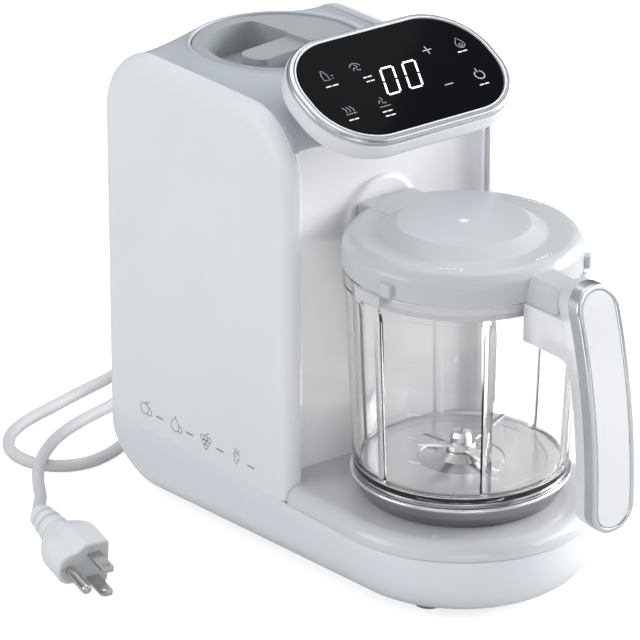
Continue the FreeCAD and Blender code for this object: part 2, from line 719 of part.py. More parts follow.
def grip_arc(name, outer, inner):
    """A tall curved plate: part of a big tube whose axis runs along X."""
    part = body(name)
    rod(part, outer, (-20, dim.grip_y, dim.grip_z), 40, X_AXIS)
    rod(part, inner, (-30, dim.grip_y, dim.grip_z), 60, X_AXIS, cut=True)
    return part


def grip_outline(name, inset, low=0, high=0):
    """The handle's outline from the front, with round ends."""
    part = body(name)
    half = dim.grip_half - inset
    block(part, (-half, half), (-180, -110), (dim.grip_bottom + inset + low, dim.grip_top - inset - high))
    soften(part, half - 0.3, along("y"))
    return part


def make_handle():
    """The handle: a clear grip and arm, a silver frame and a white inlay."""
    frame_back = dim.grip_front - dim.frame_depth
    plate = common("frame_plate", grip_arc("frame_arc", dim.grip_front, frame_back),
                   grip_outline("frame_edge", 0))
    pocket = common("frame_pocket", grip_arc("pocket_arc", dim.grip_front + 5, dim.grip_front - 1.6),
                    grip_outline("pocket_edge", 2.6))
    node(cut("handle_frame", plate, pocket), "handle_frame")
    inlay = common("handle_inlay", grip_arc("inlay_arc", dim.grip_front - 0.2, dim.grip_front - 1.5),
                   grip_outline("inlay_edge", 2.8))
    node(inlay, "handle_inlay")
    bar = common("grip_bar", grip_arc("grip_arc", frame_back - 0.1, frame_back - dim.grip_depth),
                 grip_outline("grip_edge", 0.6))
    lid_way = body("lid_way")
    block(lid_way, (-20, 20), (dim.lug_front - 0.9, dim.lug_front + 20), (dim.rim_top, dim.grip_top + 10))
    grip = cut("grip_clear_of_lid", bar, lid_way)
    arm = body("grip_arm")
    across = (-dim.arm_half, dim.arm_half)
    block(arm, across, (dim.arm_back - 3, dim.jug_y - 50), (dim.arm_low, dim.rim_top))
    block(arm, across, (dim.arm_back - 3, dim.arm_back), (dim.arm_foot, dim.arm_low + 3))
    soften(arm, dim.arm_bend, along("x", y=dim.arm_back, z=dim.arm_low))
    arm_waste = turned("arm_waste", [(0, 100), (55, 100), (55, 200), (0, 200)], 0, dim.jug_y)
    keep = grip_arc("arm_keep", frame_back - 0.1, 100)
    trimmed = common("arm_trimmed", cut("arm_cut", arm, arm_waste), keep)
    node(join("handle_grip", grip, trimmed), "handle_grip")


def make_jug_lid():
    """The frosted jug lid with its neck, front lug, tabs and seal."""
    lid = turned("lid_shell", [
        (dim.lid_radius - 2.4, dim.lid_low), (dim.lid_radius, dim.lid_low),
        (dim.lid_radius, dim.lid_top - 2.5),
        (dim.lid_radius - 2.5, dim.lid_top), (37, dim.lid_top), (30, dim.dome_top - 0.6), (24, dim.dome_top),
        (0, dim.dome_top), (0, dim.dome_top - 2.4), (28.5, dim.dome_top - 2.6), (36, dim.lid_top - 2.4),
        (49, dim.lid_top - 2.4), (49, 149), (47, 149), (47, 147), (50, 147), (50, 149.5), (49.9, 149.5),
        (49.9, dim.lid_low + 3), (dim.lid_radius - 2.4, dim.lid_low + 3)], 0, dim.jug_y)
    extras = body("lid_extras")
    block(extras, (-17, 17), (-10, 14.2), (dim.lid_low + 0.9, dim.lid_top - 0.1))
    soften(extras, 2, lambda edge: in_plane("y", 14.2)(edge) and not along("x", z=dim.lid_low + 0.9)(edge))
    block(extras, (8.4, 15.6), (11.8, 20), (150, dim.steam_z + 4), cut=True)
    lug = body("lid_lug")
    block(lug, (-10.5, 10.5), (dim.lug_front, -92), (dim.rim_top + 0.4, dim.lug_top))
    soften(lug, 3, along("x", y=dim.lug_front, z=dim.lug_top))
    soften(lug, 3, lambda edge: in_plane("y", dim.lug_front)(edge) and along("z")(edge))
    tabs = body("lid_tabs")
    for angle in (-174, -54, 66):
        hook_at(tabs, angle, dim.lid_low + 0.7, 161)
    hole = turned("lid_hole", [
        (0, 140), (dim.lid_radius - 1, 140), (dim.lid_radius - 1, dim.lid_top - 4),
        (50, dim.lid_top - 3), (50, dim.lid_top - 0.2), (0, dim.lid_top - 0.2)], 0, dim.jug_y)
    fittings = cut("lid_fittings", join("lid_all", extras, lug, tabs), hole)
    bore = body("lid_steam_bore")
    rod(bore, 4.5, (0, -5, dim.steam_z), 60, Y_AXIS)
    node(cut("jug_lid", join("lid_moulding", lid, fittings), bore), "jug_lid")
    node(ring("lid_seal", 50, 50.6, 150, 153, 0, dim.jug_y), "lid_seal")


# ---------------------------------------------------------------- mains lead

LEAD = [(24, 172, 48), (24, 191, 46.5), (21.5, 210, 36), (13.5, 226, 21.5), (0, 236, 9), (-20, 237.5, 3.2),
        (-42, 230, 3), (-63, 220.5, 3), (-83.5, 208, 3), (-95, 188, 3), (-91.5, 166, 3), (-73, 152, 3),
        (-51, 154, 3), (-29, 162, 3), (-5, 169.5, 3), (20, 171.5, 3), (44, 167.5, 3)]
TAIL = [(20, 214.5, 9.3), (1, 212.5, 8.5), (-19, 208, 4.6), (-40, 201, 3), (-60, 192.5, 5),
        (-78.5, 181.5, 12.6), (-95, 166, 12.8), (-106, 148.5, 6.5), (-115, 131, 8), (-126.5, 114.5, 16),
        (-139.9, 97.6, 19.1)]
COIL_CENTRE = (56, 201)
COIL_MIDDLE = 32.7
COIL_HALF_WIDE = 7.8
PLUG_FACE = (-148, 47.5, 12.4)
PLUG_HEADING = (-0.16, -0.978, -0.13)


def make_cord():
    """The mains lead: boot, clamp, loose stretch, coil and plug."""
    gland = turned("cord_gland", [
        (3.05, -6), (7, -6), (7, -3), (5, -3), (5, 0.1), (7.5, 0.1), (7.5, 2.4),
        (6, 3.5), (4.2, 24.4), (3.05, 24.4)],
        dim.exit_x, dim.rear - dim.top_step, dim.exit_z, Y_AXIS)
    node(gland, "cord_gland")
    clamp = body("cord_clamp")
    block(clamp, (dim.exit_x - 9, dim.exit_x + 9), (dim.clamp_y, dim.clamp_y + 8), (41, dim.exit_z + 6))
    rod(clamp, dim.cord_radius + 0.1, (dim.exit_x, 110, dim.exit_z), 40, Y_AXIS, cut=True)
    node(clamp, "cord_clamp")
    radius = SIZES["cord_radius"]
    start = Vector(SIZES["exit_x"], SIZES["clamp_y"], SIZES["exit_z"])
    inner = Part.makeCylinder(radius, LEAD[0][1] - start.y, start, Vector(0, 1, 0))
    lead = tube_along(LEAD, radius)
    drawn("cord_lead", inner.fuse(lead))
    drawn("cord_tail", tube_along(TAIL, radius))
    coil = turned("cord_coil", [
        (COIL_MIDDLE - COIL_HALF_WIDE, 0), (COIL_MIDDLE + COIL_HALF_WIDE, 0),
        (COIL_MIDDLE + COIL_HALF_WIDE, 6.3), (COIL_MIDDLE - COIL_HALF_WIDE, 6.3)],
        COIL_CENTRE[0], COIL_CENTRE[1])
    node(coil, "cord_coil")


def plug_place(part, back):
    """Place a plug piece on the plug's axis, a distance behind its face."""
    heading = Vector(*PLUG_HEADING).normalize()
    side = Vector(0, 0, 1).cross(heading).normalize()
    up = heading.cross(side)
    face = Vector(*PLUG_FACE)
    base = face - heading * back
    turn = Rotation(side, up, heading, "XYZ")
    put(part, base.x, base.y, base.z, turn)


def make_plug():
    """A three-pin plug lying on its side, with a ribbed relief behind it."""
    shell = body("plug_body")
    block(shell, (-14.5, 11.5), (-11.8, 11.8), (0, 31))
    soften(shell, 9, lambda edge: along("z")(edge) and edge.CenterOfMass.x < 0)
    soften(shell, 3, lambda edge: along("z")(edge) and edge.CenterOfMass.x > 0)
    soften(shell, 4, in_plane("z", 0))
    plug_place(shell, 31)
    node(shell, "plug_body")
    blades = []
    for y in (-6.35, 6.35):
        blade = body("plug_blade")
        block(blade, (-0.15, 6.2), (y - 0.75, y + 0.75), (0, 16.4))
        plug_place(blade, -0.1)
        blades.append(blade)
    ground = body("plug_ground_pin")
    rod(ground, 2.4, (-8.8, 0, 0), 17.6)
    rod(ground, 1.6, (-8.8, 0, 17.5), 1.6)
    plug_place(ground, -0.1)
    node(join("plug_pins", ground, *blades), "plug_pins")
    relief = turned("plug_relief", [
        (0, 0), (4.6, 0), (4.6, 3), (5.6, 3.4), (5.6, 6.6), (4.9, 7), (4.9, 9), (6.4, 9.4),
        (6.4, 12.6), (5.4, 13),
        (5.4, 15), (7.4, 15.4), (7.4, 19.9), (0, 19.9)])
    plug_place(relief, 51)
    node(relief, "plug_relief")


make_base_pan()
make_feet()
make_base_cover()
make_side_cover("left_side_cover", -1)
make_side_cover("right_side_cover", 1)
make_centre_shell()
make_front_panel()
make_chassis()
make_screws()
make_head()
make_steam_port()
make_latch()
make_tank()
make_tank_lid()
make_pump_and_boiler()
make_electronics()
make_motor()
make_blades()
make_jug()
make_handle()
make_jug_lid()
make_cord()
make_plug()

doc.recompute()
for item in doc.Objects:
    if "Invalid" in item.State or "Error" in item.State:
        raise RuntimeError("%s failed: %s" % (item.Label, item.State))
for item in nodes:
    if item.Shape.isNull() or not item.Shape.isValid():
        raise RuntimeError("%s has no valid shape" % item.Label)
    item.Shape.exportStep("parts/%s.step" % item.Label)
    print("%-18s %d solids, %9.0f mm3" % (item.Label, len(item.Shape.Solids), item.Shape.Volume))
print(len(nodes), "nodes")
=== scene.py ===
import math

import bmesh
import bpy
from mathutils import Matrix, Vector


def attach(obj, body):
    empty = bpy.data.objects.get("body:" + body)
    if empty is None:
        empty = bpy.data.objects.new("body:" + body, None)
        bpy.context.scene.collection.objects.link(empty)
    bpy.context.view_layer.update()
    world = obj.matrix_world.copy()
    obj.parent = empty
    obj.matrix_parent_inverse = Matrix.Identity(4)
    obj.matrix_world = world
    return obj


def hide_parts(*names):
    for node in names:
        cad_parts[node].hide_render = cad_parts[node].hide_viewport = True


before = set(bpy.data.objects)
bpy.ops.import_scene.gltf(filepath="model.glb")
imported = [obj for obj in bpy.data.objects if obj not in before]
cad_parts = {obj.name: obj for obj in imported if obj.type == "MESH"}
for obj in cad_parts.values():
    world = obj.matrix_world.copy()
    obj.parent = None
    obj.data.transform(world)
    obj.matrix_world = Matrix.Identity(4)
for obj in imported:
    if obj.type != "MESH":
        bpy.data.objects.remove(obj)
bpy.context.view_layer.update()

# Shapes are worked out in millimetres, and MM turns them into Blender's metres.
MM = 0.001
FULL_TURN = 2 * math.pi


# ---------------------------------------------------------------- camera

VIEW_AZIMUTH = math.radians(-38.5)
VIEW_ELEVATION = math.radians(23.03)
VIEW_TARGET = Vector((-0.0143, 0.0436, 0.1014))
VIEW_DISTANCE = 2.2
VIEW_LENS = 264.4


def make_camera():
    """A long lens from the front left, a little above the machine."""
    level = math.cos(VIEW_ELEVATION)
    back = Vector((math.sin(VIEW_AZIMUTH) * level, -math.cos(VIEW_AZIMUTH) * level,
                   math.sin(VIEW_ELEVATION)))
    right = Vector((math.cos(VIEW_AZIMUTH), math.sin(VIEW_AZIMUTH), 0))
    up = back.cross(right)
    data = bpy.data.cameras.new("camera")
    data.lens = VIEW_LENS
    data.sensor_width = 36
    data.clip_end = 20
    camera = bpy.data.objects.new("camera", data)
    camera.matrix_world = (Matrix.Translation(VIEW_TARGET + back * VIEW_DISTANCE)
                           @ Matrix((right, up, back)).transposed().to_4x4())
    bpy.context.scene.collection.objects.link(camera)
    bpy.context.scene.camera = camera


make_camera()


# ---------------------------------------------------------------- materials

def plain_look(name, colour, roughness, metallic=0.0, coat=0.0, specular=0.5):
    """A new material's nodes, links and Principled shader, with its constant values set."""
    material = bpy.data.materials.new(name)
    material.use_nodes = True
    shader = material.node_tree.nodes["Principled BSDF"]
    shader.inputs["Base Color"].default_value = (*colour, 1)
    shader.inputs["Roughness"].default_value = roughness
    shader.inputs["Metallic"].default_value = metallic
    shader.inputs["Coat Weight"].default_value = coat
    shader.inputs["Coat Roughness"].default_value = 0.06
    shader.inputs["Specular IOR Level"].default_value = specular
    return material, shader


def add_noise(material, scale, detail=3.0, stretch=(1, 1, 1)):
    """Noise over the object's own coordinates, with the scale in blobs per metre."""
    nodes, links = material.node_tree.nodes, material.node_tree.links
    place = nodes.new("ShaderNodeTexCoord")
    mapping = nodes.new("ShaderNodeMapping")
    mapping.inputs["Scale"].default_value = stretch
    noise = nodes.new("ShaderNodeTexNoise")
    noise.inputs["Scale"].default_value = scale
    noise.inputs["Detail"].default_value = detail
    links.new(place.outputs["Object"], mapping.inputs["Vector"])
    links.new(mapping.outputs["Vector"], noise.inputs["Vector"])
    return noise


def vary_colour(material, shader, colour, spread, scale):
    """A faint cloudy change of colour, as a moulded or cast surface has."""
    nodes, links = material.node_tree.nodes, material.node_tree.links
    ramp = nodes.new("ShaderNodeValToRGB")
    for element, factor in zip(ramp.color_ramp.elements, (1 - spread, 1 + spread)):
        element.color = (*[min(1, channel * factor) for channel in colour], 1)
    ramp.color_ramp.elements[0].position = 0.35
    ramp.color_ramp.elements[1].position = 0.65
    links.new(add_noise(material, scale, 2).outputs["Fac"], ramp.inputs["Fac"])
    links.new(ramp.outputs["Color"], shader.inputs["Base Color"])


def vary_roughness(material, shader, roughness, spread, scale):
    """Patches that are a little duller or glossier than the rest."""
    nodes, links = material.node_tree.nodes, material.node_tree.links
    span = nodes.new("ShaderNodeMapRange")
    span.inputs["To Min"].default_value = max(0.02, roughness - spread)
    span.inputs["To Max"].default_value = roughness + spread
    links.new(add_noise(material, scale, 4).outputs["Fac"], span.inputs["Value"])
    links.new(span.outputs["Result"], shader.inputs["Roughness"])


def add_grain(material, shader, scale, strength, depth=0.0001, stretch=(1, 1, 1)):
    """Fine relief: spark texture on plastic, or brush lines where it is stretched."""
    nodes, links = material.node_tree.nodes, material.node_tree.links
    bump = nodes.new("ShaderNodeBump")
    bump.inputs["Strength"].default_value = strength
    bump.inputs["Distance"].default_value = depth
    links.new(add_noise(material, scale, 4, stretch).outputs["Fac"], bump.inputs["Height"])
    links.new(bump.outputs["Normal"], shader.inputs["Normal"])


def moulded(name, colour, roughness, grain=0.12, coat=0.0, glow=0.0, specular=0.5):
    """Injection-moulded plastic."""
    material, shader = plain_look(name, colour, roughness, coat=coat, specular=specular)
    vary_colour(material, shader, colour, 0.012, 14)
    vary_roughness(material, shader, roughness, 0.04, 60)
    add_grain(material, shader, 2600, grain)
    if glow:
        shader.inputs["Subsurface Weight"].default_value = glow
        shader.inputs["Subsurface Radius"].default_value = (0.004, 0.004, 0.004)
    return material


def metal(name, colour, roughness, stretch=(1, 1, 1), grain=0.05, scale=900):
    """Metal with fine brush lines along the axis that stretch keeps small."""
    material, shader = plain_look(name, colour, roughness, metallic=1.0)
    vary_colour(material, shader, colour, 0.03, 40)
    vary_roughness(material, shader, roughness, 0.05, 120)
    add_grain(material, shader, scale, grain, stretch=stretch)
    return material


ACRYLIC_IOR = 1.49


def clear(name, colour, roughness, share=1.0):
    """Clear plastic, with the slight waviness of a moulding; a lower share makes it milky."""
    material, shader = plain_look(name, colour, roughness)
    shader.inputs["Transmission Weight"].default_value = share
    shader.inputs["IOR"].default_value = ACRYLIC_IOR
    add_grain(material, shader, 45, 0.03)
    return material


def lit(name, colour, strength):
    """A print or a lamp behind glass."""
    material, shader = plain_look(name, colour, 0.5)
    shader.inputs["Emission Color"].default_value = (*colour, 1)
    shader.inputs["Emission Strength"].default_value = strength
    vary_roughness(material, shader, 0.5, 0.05, 200)
    return material


WHITE = (0.775, 0.79, 0.815)
# Painted shade: the top cover and its lip get a darker, bluer white than the sides, standing in for the
# shade on faces that look up.
TOP_SHADE_WHITE = (0.49, 0.52, 0.56)
LOOKS = {
    "shell": moulded("shell", WHITE, 0.42, 0.16),
    # The crown look carries that painted shade of the top.
    "crown": moulded("crown", TOP_SHADE_WHITE, 0.38, 0.14),
    "panel": moulded("panel", (0.935, 0.925, 0.94), 0.22, 0.03, coat=0.5),
    "stand": moulded("stand", (0.62, 0.635, 0.665), 0.3, 0.06, coat=0.3),
    "pan": moulded("pan", (0.725, 0.745, 0.78), 0.4, 0.14),
    "head": moulded("head", (0.73, 0.74, 0.77), 0.24, 0.04, coat=0.4),
    "tank_lid": moulded("tank_lid", (0.395, 0.425, 0.44), 0.3, 0.05, coat=0.2, glow=0.6),
    "jug_lid": moulded("jug_lid", (0.55, 0.575, 0.60), 0.3, 0.05, coat=0.2, glow=0.2),
    # Partly painted shade: the foot is dark metal, and its dark purplish tone also stands in for the
    # shadow band under the jug's ring.
    "shaded_jug_foot": metal("shaded_jug_foot", (0.36, 0.34, 0.37), 0.3, grain=0.03),
    "inlay": moulded("inlay", (0.75, 0.76, 0.775), 0.3, 0.05, coat=0.3),
    "cord": moulded("cord", (0.66, 0.665, 0.68), 0.5, 0.1),
    "plug": moulded("plug", (0.75, 0.765, 0.785), 0.42, 0.1),
    "plug_face": moulded("plug_face", (0.56, 0.585, 0.60), 0.5, 0.1),
    "clear": clear("clear", (0.955, 0.945, 0.95), 0.03),
    "grip": clear("grip", (0.93, 0.93, 0.95), 0.3, share=0.55),
    "hook": clear("hook", (0.90, 0.91, 0.93), 0.25, share=0.5),
    "tank": moulded("tank", (0.55, 0.58, 0.6), 0.25, 0.03, glow=0.2),
    "silver": metal("silver", (0.60, 0.62, 0.64), 0.24, (1, 1, 0.05), 0.06),
    "satin": metal("satin", (0.56, 0.58, 0.60), 0.28, grain=0.0),
    "chrome": metal("chrome", (0.84, 0.85, 0.87), 0.24, grain=0.0),
    # Painted highlight: the ring round the glass is bright white plastic standing in for the glint along
    # the glass edge.
    "glass_edge_glint": moulded("glass_edge_glint", (0.86, 0.87, 0.89), 0.3, 0.0, coat=0.3),
    "steel": metal("steel", (0.62, 0.62, 0.63), 0.2, (1, 1, 12), 0.06),
    "floor_plate": metal("floor_plate", (0.66, 0.65, 0.67), 0.3, (1, 1, 8), 0.08),
    "blade": metal("blade", (0.66, 0.66, 0.67), 0.22, (0.1, 1, 1), 0.08),
    "pins": metal("pins", (0.60, 0.57, 0.54), 0.18, (1, 0.1, 1), 0.05),
    "alloy": metal("alloy", (0.55, 0.56, 0.57), 0.42, grain=0.3, scale=1500),
    "brass": metal("brass", (0.72, 0.56, 0.27), 0.3, grain=0.08),
    "motor": metal("motor", (0.42, 0.43, 0.44), 0.38, grain=0.12),
    "rubber": moulded("rubber", (0.30, 0.31, 0.32), 0.7, 0.3),
    "seal": moulded("seal", (0.66, 0.67, 0.68), 0.55, 0.1, glow=0.2),
    "works": moulded("works", (0.52, 0.53, 0.54), 0.5, 0.2),
    "dark": moulded("dark", (0.05, 0.05, 0.055), 0.45, 0.2),
    "circuit": moulded("circuit", (0.03, 0.16, 0.08), 0.4, 0.2),
    "hose": moulded("hose", (0.70, 0.72, 0.74), 0.35, 0.05, glow=0.2),
    "glass": plain_look("glass", (0.0030, 0.0033, 0.0045), 0.06, specular=0.035)[0],
    "digits": lit("digits", (0.93, 0.94, 1.0), 1.3),
    "icons": lit("icons", (0.20, 0.205, 0.22), 0.45),
    "signs": lit("signs", (0.36, 0.37, 0.39), 0.6),
    "labels": lit("labels", (0.60, 0.61, 0.63), 0.75),
    "print": moulded("print", (0.22, 0.23, 0.25), 0.5, 0.05),
    "emboss": moulded("emboss", (0.86, 0.87, 0.88), 0.3, 0.04),
}


# ---------------------------------------------------------------- mesh tools

def rounded(corners, steps=8):
    """An outline from its (a, b, radius) corners, each turned on an arc of its radius."""
    points = []
    for index, (a, b, radius) in enumerate(corners):
        corner = Vector((a, b))
        if radius == 0:
            points.append(corner)
            continue
        before = (Vector(corners[index - 1][:2]) - corner).normalized()
        after = (Vector(corners[(index + 1) % len(corners)][:2]) - corner).normalized()
        half = before.angle(after) / 2
        middle = corner + (before + after).normalized() * (radius / math.sin(half))
        first = corner + before * (radius / math.tan(half)) - middle
        last = corner + after * (radius / math.tan(half)) - middle
        sweep = math.atan2(first.x * last.y - first.y * last.x, first.dot(last))
        for step in range(steps + 1):
            angle = sweep * step / steps
            points.append(middle + Vector((first.x * math.cos(angle) - first.y * math.sin(angle),
                                           first.x * math.sin(angle) + first.y * math.cos(angle))))
    return points


def evenly_spaced(outline, count):
    """Points at equal steps round a closed outline."""
    sides = list(zip(outline, outline[1:] + outline[:1]))
    step = sum((end - start).length for start, end in sides) / count
    points, past = [], 0.0
    for start, end in sides:
        long = (end - start).length
        while past < long and len(points) < count:
            points.append(start.lerp(end, past / long))
            past += step
        past -= long
    return points


def round_rectangle(half_x, half_y, radius, steps=12):
    return rounded([(half_x, -half_y, radius), (half_x, half_y, radius),
                    (-half_x, half_y, radius), (-half_x, -half_y, radius)], steps)


def loft(loops, closed=False):
    """A skin through loops of equal length, with capped ends unless it closes on itself."""
    count = len(loops[0])
    points = [Vector(point) for loop in loops for point in loop]
    faces = []
    for row in range(len(loops) if closed else len(loops) - 1):
        this, after = row * count, (row + 1) % len(loops) * count
        for column in range(count):
            beside = (column + 1) % count
            faces.append((this + column, this + beside, after + beside, after + column))
    if not closed:
        faces.append(tuple(range(count)))
        faces.append(tuple(range((len(loops) - 1) * count, len(loops) * count)))
    return points, faces


def revolve(outline, x=0, y=0, z=0, axis="z", turns=128, bulge=None):
    """An outline of (radius, height) points turned about an axis through x, y, z."""
    loops = []
    for step in range(turns):
        angle = FULL_TURN * step / turns
        loop = []
        for radius, height in outline:
            if bulge:
                radius += bulge(angle, radius, height)
            side, front = radius * math.cos(angle), radius * math.sin(angle)
            loop.append((x + side, y + front, z + height) if axis == "z"
                        else (x + side, y + height, z + front))
        loops.append(loop)
    return loft(loops, closed=True)


def swept(outline_at, profile):
    """A closed profile of (inset, height) points carried round an outline."""
    loops = [[(a, b, height) for a, b in outline_at(inset)] for inset, height in profile]
    return loft(loops, closed=True)


def stroke(path, width, closed=False, thick=0.12):
    """A flat raised line of a width along (u, v) points."""
    path = [Vector(point) for point in path]
    loops = []
    for index, point in enumerate(path):
        ahead = path[(index + 1) % len(path)] if closed or index < len(path) - 1 else point
        behind = path[index - 1] if closed or index > 0 else point
        run = (ahead - behind).normalized() * (width / 2)
        left, right = point + Vector((-run.y, run.x)), point + Vector((run.y, -run.x))
        loops.append([(*left, thick), (*right, thick), (*right, -thick), (*left, -thick)])
    return loft(loops, closed)


def arc(u, v, radius, start=0, end=360, steps=20):
    """Points round a circle between two angles in degrees; a whole circle doesn't repeat its first."""
    angles = [math.radians(start + (end - start) * step / steps) for step in range(steps + 1)]
    if end - start == 360:
        angles.pop()
    return [(u + radius * math.cos(angle), v + radius * math.sin(angle)) for angle in angles]


def joined(*shapes):
    """Several (points, faces) shapes as one."""
    points, faces = [], []
    for more_points, more_faces in shapes:
        faces += [tuple(len(points) + index for index in face) for face in more_faces]
        points += more_points
    return points, faces


def placed(shape, matrix):
    points, faces = shape
    return [matrix @ Vector(point) for point in points], faces


def smooth(obj, sharp=40):
    """Smooth shading that breaks at sharp edges and keeps flat faces flat."""
    obj.data.shade_smooth()
    obj.data.set_sharp_from_angle(angle=math.radians(sharp))
    weigh = obj.modifiers.new("even_normals", "WEIGHTED_NORMAL")
    weigh.keep_sharp = True


def finish_piece(obj, look, body, nodes):
    obj.data.materials.clear()
    obj.data.materials.append(LOOKS[look])
    smooth(obj)
    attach(obj, body)
    if nodes:
        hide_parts(*nodes)
    return obj


def new_object(name, mesh):
    obj = bpy.data.objects.new(name, mesh)
    bpy.context.scene.collection.objects.link(obj)
    return obj


def weld(mesh, flat=False):
    """Join points that coincide, drop empty faces and turn the normals outward."""
    work = bmesh.new()
    work.from_mesh(mesh)
    bmesh.ops.remove_doubles(work, verts=work.verts, dist=0.002 * MM)
    bmesh.ops.dissolve_degenerate(work, dist=0.001 * MM, edges=work.edges)
    if flat:
        bmesh.ops.dissolve_limit(work, angle_limit=math.radians(0.6), verts=work.verts, edges=work.edges)
    bmesh.ops.recalc_face_normals(work, faces=work.faces)
    work.to_mesh(mesh)
    work.free()


def piece(name, shape, look, body="housing", nodes=()):
    """A finished object from a shape in millimetres."""
    points, faces = shape
    mesh = bpy.data.meshes.new(name)
    mesh.from_pydata([point * MM for point in points], [], faces)
    weld(mesh)
    return finish_piece(new_object(name, mesh), look, body, nodes)


def softened(name, node, width, look, body="housing", segments=3):
    """A CAD part's shape with its sharp edges rounded, as a moulding or casting has them."""
    obj = new_object(name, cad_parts[node].data.copy())
    weld(obj.data, flat=True)
    bevel = obj.modifiers.new("soft_edges", "BEVEL")
    bevel.width = width * MM
    bevel.segments = segments
    bevel.limit_method = "ANGLE"
    bevel.angle_limit = math.radians(35)
    return finish_piece(obj, look, body, [node])


# ---------------------------------------------------------------- mains lead

# The route's control points, in metres: out of the boot, down to the surface
# and round a loose loop, then from the coil to the plug.
LEAD = [(.024, .172, .048), (.024, .191, .0465), (.0215, .2065, .0345), (.0125, .2195, .018),
        (-.002, .228, .0055), (-.0215, .228, .003), (-.0425, .2215, .003), (-.0625, .2165, .003),
        (-.0815, .2065, .003), (-.093, .1885, .003), (-.0895, .167, .003), (-.0725, .155, .003),
        (-.051, .1585, .003), (-.030, .1705, .003), (-.005, .1735, .003), (.020, .1725, .003),
        (.044, .1675, .003)]
TAIL = [(.020, .2125, .0085), (.001, .208, .006), (-.020, .2035, .0035), (-.0405, .1995, .003),
        (-.0605, .190, .0045), (-.0805, .1735, .0085), (-.0965, .1585, .0095), (-.1055, .147, .008),
        (-.115, .131, .008), (-.1265, .1145, .016), (-.1399, .0976, .0191)]
CORD_RADIUS = 0.003
COIL_CENTRE = Vector((0.056, 0.201, CORD_RADIUS))
COIL_OUTSIDE = 0.0372
COIL_PITCH = 0.0062
COIL_START = math.radians(-88)
COIL_TURNS = 1.48
POINTS_PER_TURN = 16
COIL_WAY_OUT = [(.0455, .2285, .0045), (.0335, .2235, .0096)]


def coil_points():
    """Flat turns that wind inwards from where the lead reaches the coil."""
    points = []
    for step in range(round(COIL_TURNS * POINTS_PER_TURN) + 1):
        turned = step / POINTS_PER_TURN
        angle = COIL_START + FULL_TURN * turned
        radius = COIL_OUTSIDE - COIL_PITCH * turned
        points.append(COIL_CENTRE + Vector((radius * math.cos(angle), radius * math.sin(angle), 0)))
    return points


def make_cord():
    """The whole lead as one smooth line of its real length."""
    start = Vector(LEAD[0]) - Vector((0, 0.006, 0))
    route = [start, *LEAD, *coil_points(), *COIL_WAY_OUT, *TAIL]
    curve = bpy.data.curves.new("mains_lead", "CURVE")
    curve.dimensions = "3D"
    curve.resolution_u = 10
    curve.bevel_depth = CORD_RADIUS
    curve.bevel_resolution = 6
    curve.use_fill_caps = True
    line = curve.splines.new("NURBS")
    line.points.add(len(route) - 1)
    for point, place in zip(line.points, route):
        point.co = (*place, 1)
    line.order_u = 3
    line.use_endpoint_u = True
    curve.materials.append(LOOKS["cord"])
    cord = new_object("mains_lead", curve)
    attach(cord, "housing")
    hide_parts("cord_lead", "cord_tail", "cord_coil")
    return cord, start


PLUG_FACE = Vector((-148, 47.5, 12.4))
PLUG_HEADING = Vector((-0.16, -0.978, -0.13)).normalized()
PLUG_LONG = 31
PLUG_BACK = 7.3
RELIEF_LONG = 19.9


def plug_matrix(behind):
    """The plug's own axes: x to the ground pin's far side, y up, z out of its face."""
    side = Vector((0, 0, 1)).cross(PLUG_HEADING).normalized()
    up = PLUG_HEADING.cross(side)
    turn = Matrix((side, up, PLUG_HEADING)).transposed().to_4x4()
    return Matrix.Translation(PLUG_FACE - PLUG_HEADING * behind) @ turn


def plug_outline(inset=0.0, steps=6):
    """The plug's front: a wide block for the blades and a narrower lobe round the ground pin."""
    return rounded([(11.5 - inset, -11.8 + inset, 3 - inset), (11.5 - inset, 11.8 - inset, 3 - inset),
                    (-1 + inset * 0.4, 11.8 - inset, 3.5), (-5.5, 8.2 - inset, 4),
                    (-14.5 + inset, 8.2 - inset, 7), (-14.5 + inset, -8.2 + inset, 7),
                    (-5.5, -8.2 + inset, 4), (-1 + inset * 0.4, -11.8 + inset, 3.5)], steps)


def plug_loop(share, inset, height):
    """A slice of the plug, from its round back, share 0, to its full outline, share 1."""
    loop = []
    for point in plug_outline(inset):
        angle = math.atan2(point.y, point.x + 1)
        back = Vector((PLUG_BACK * math.cos(angle) * 0.96, PLUG_BACK * math.sin(angle)))
        loop.append((*back.lerp(point, share), height))
    return loop


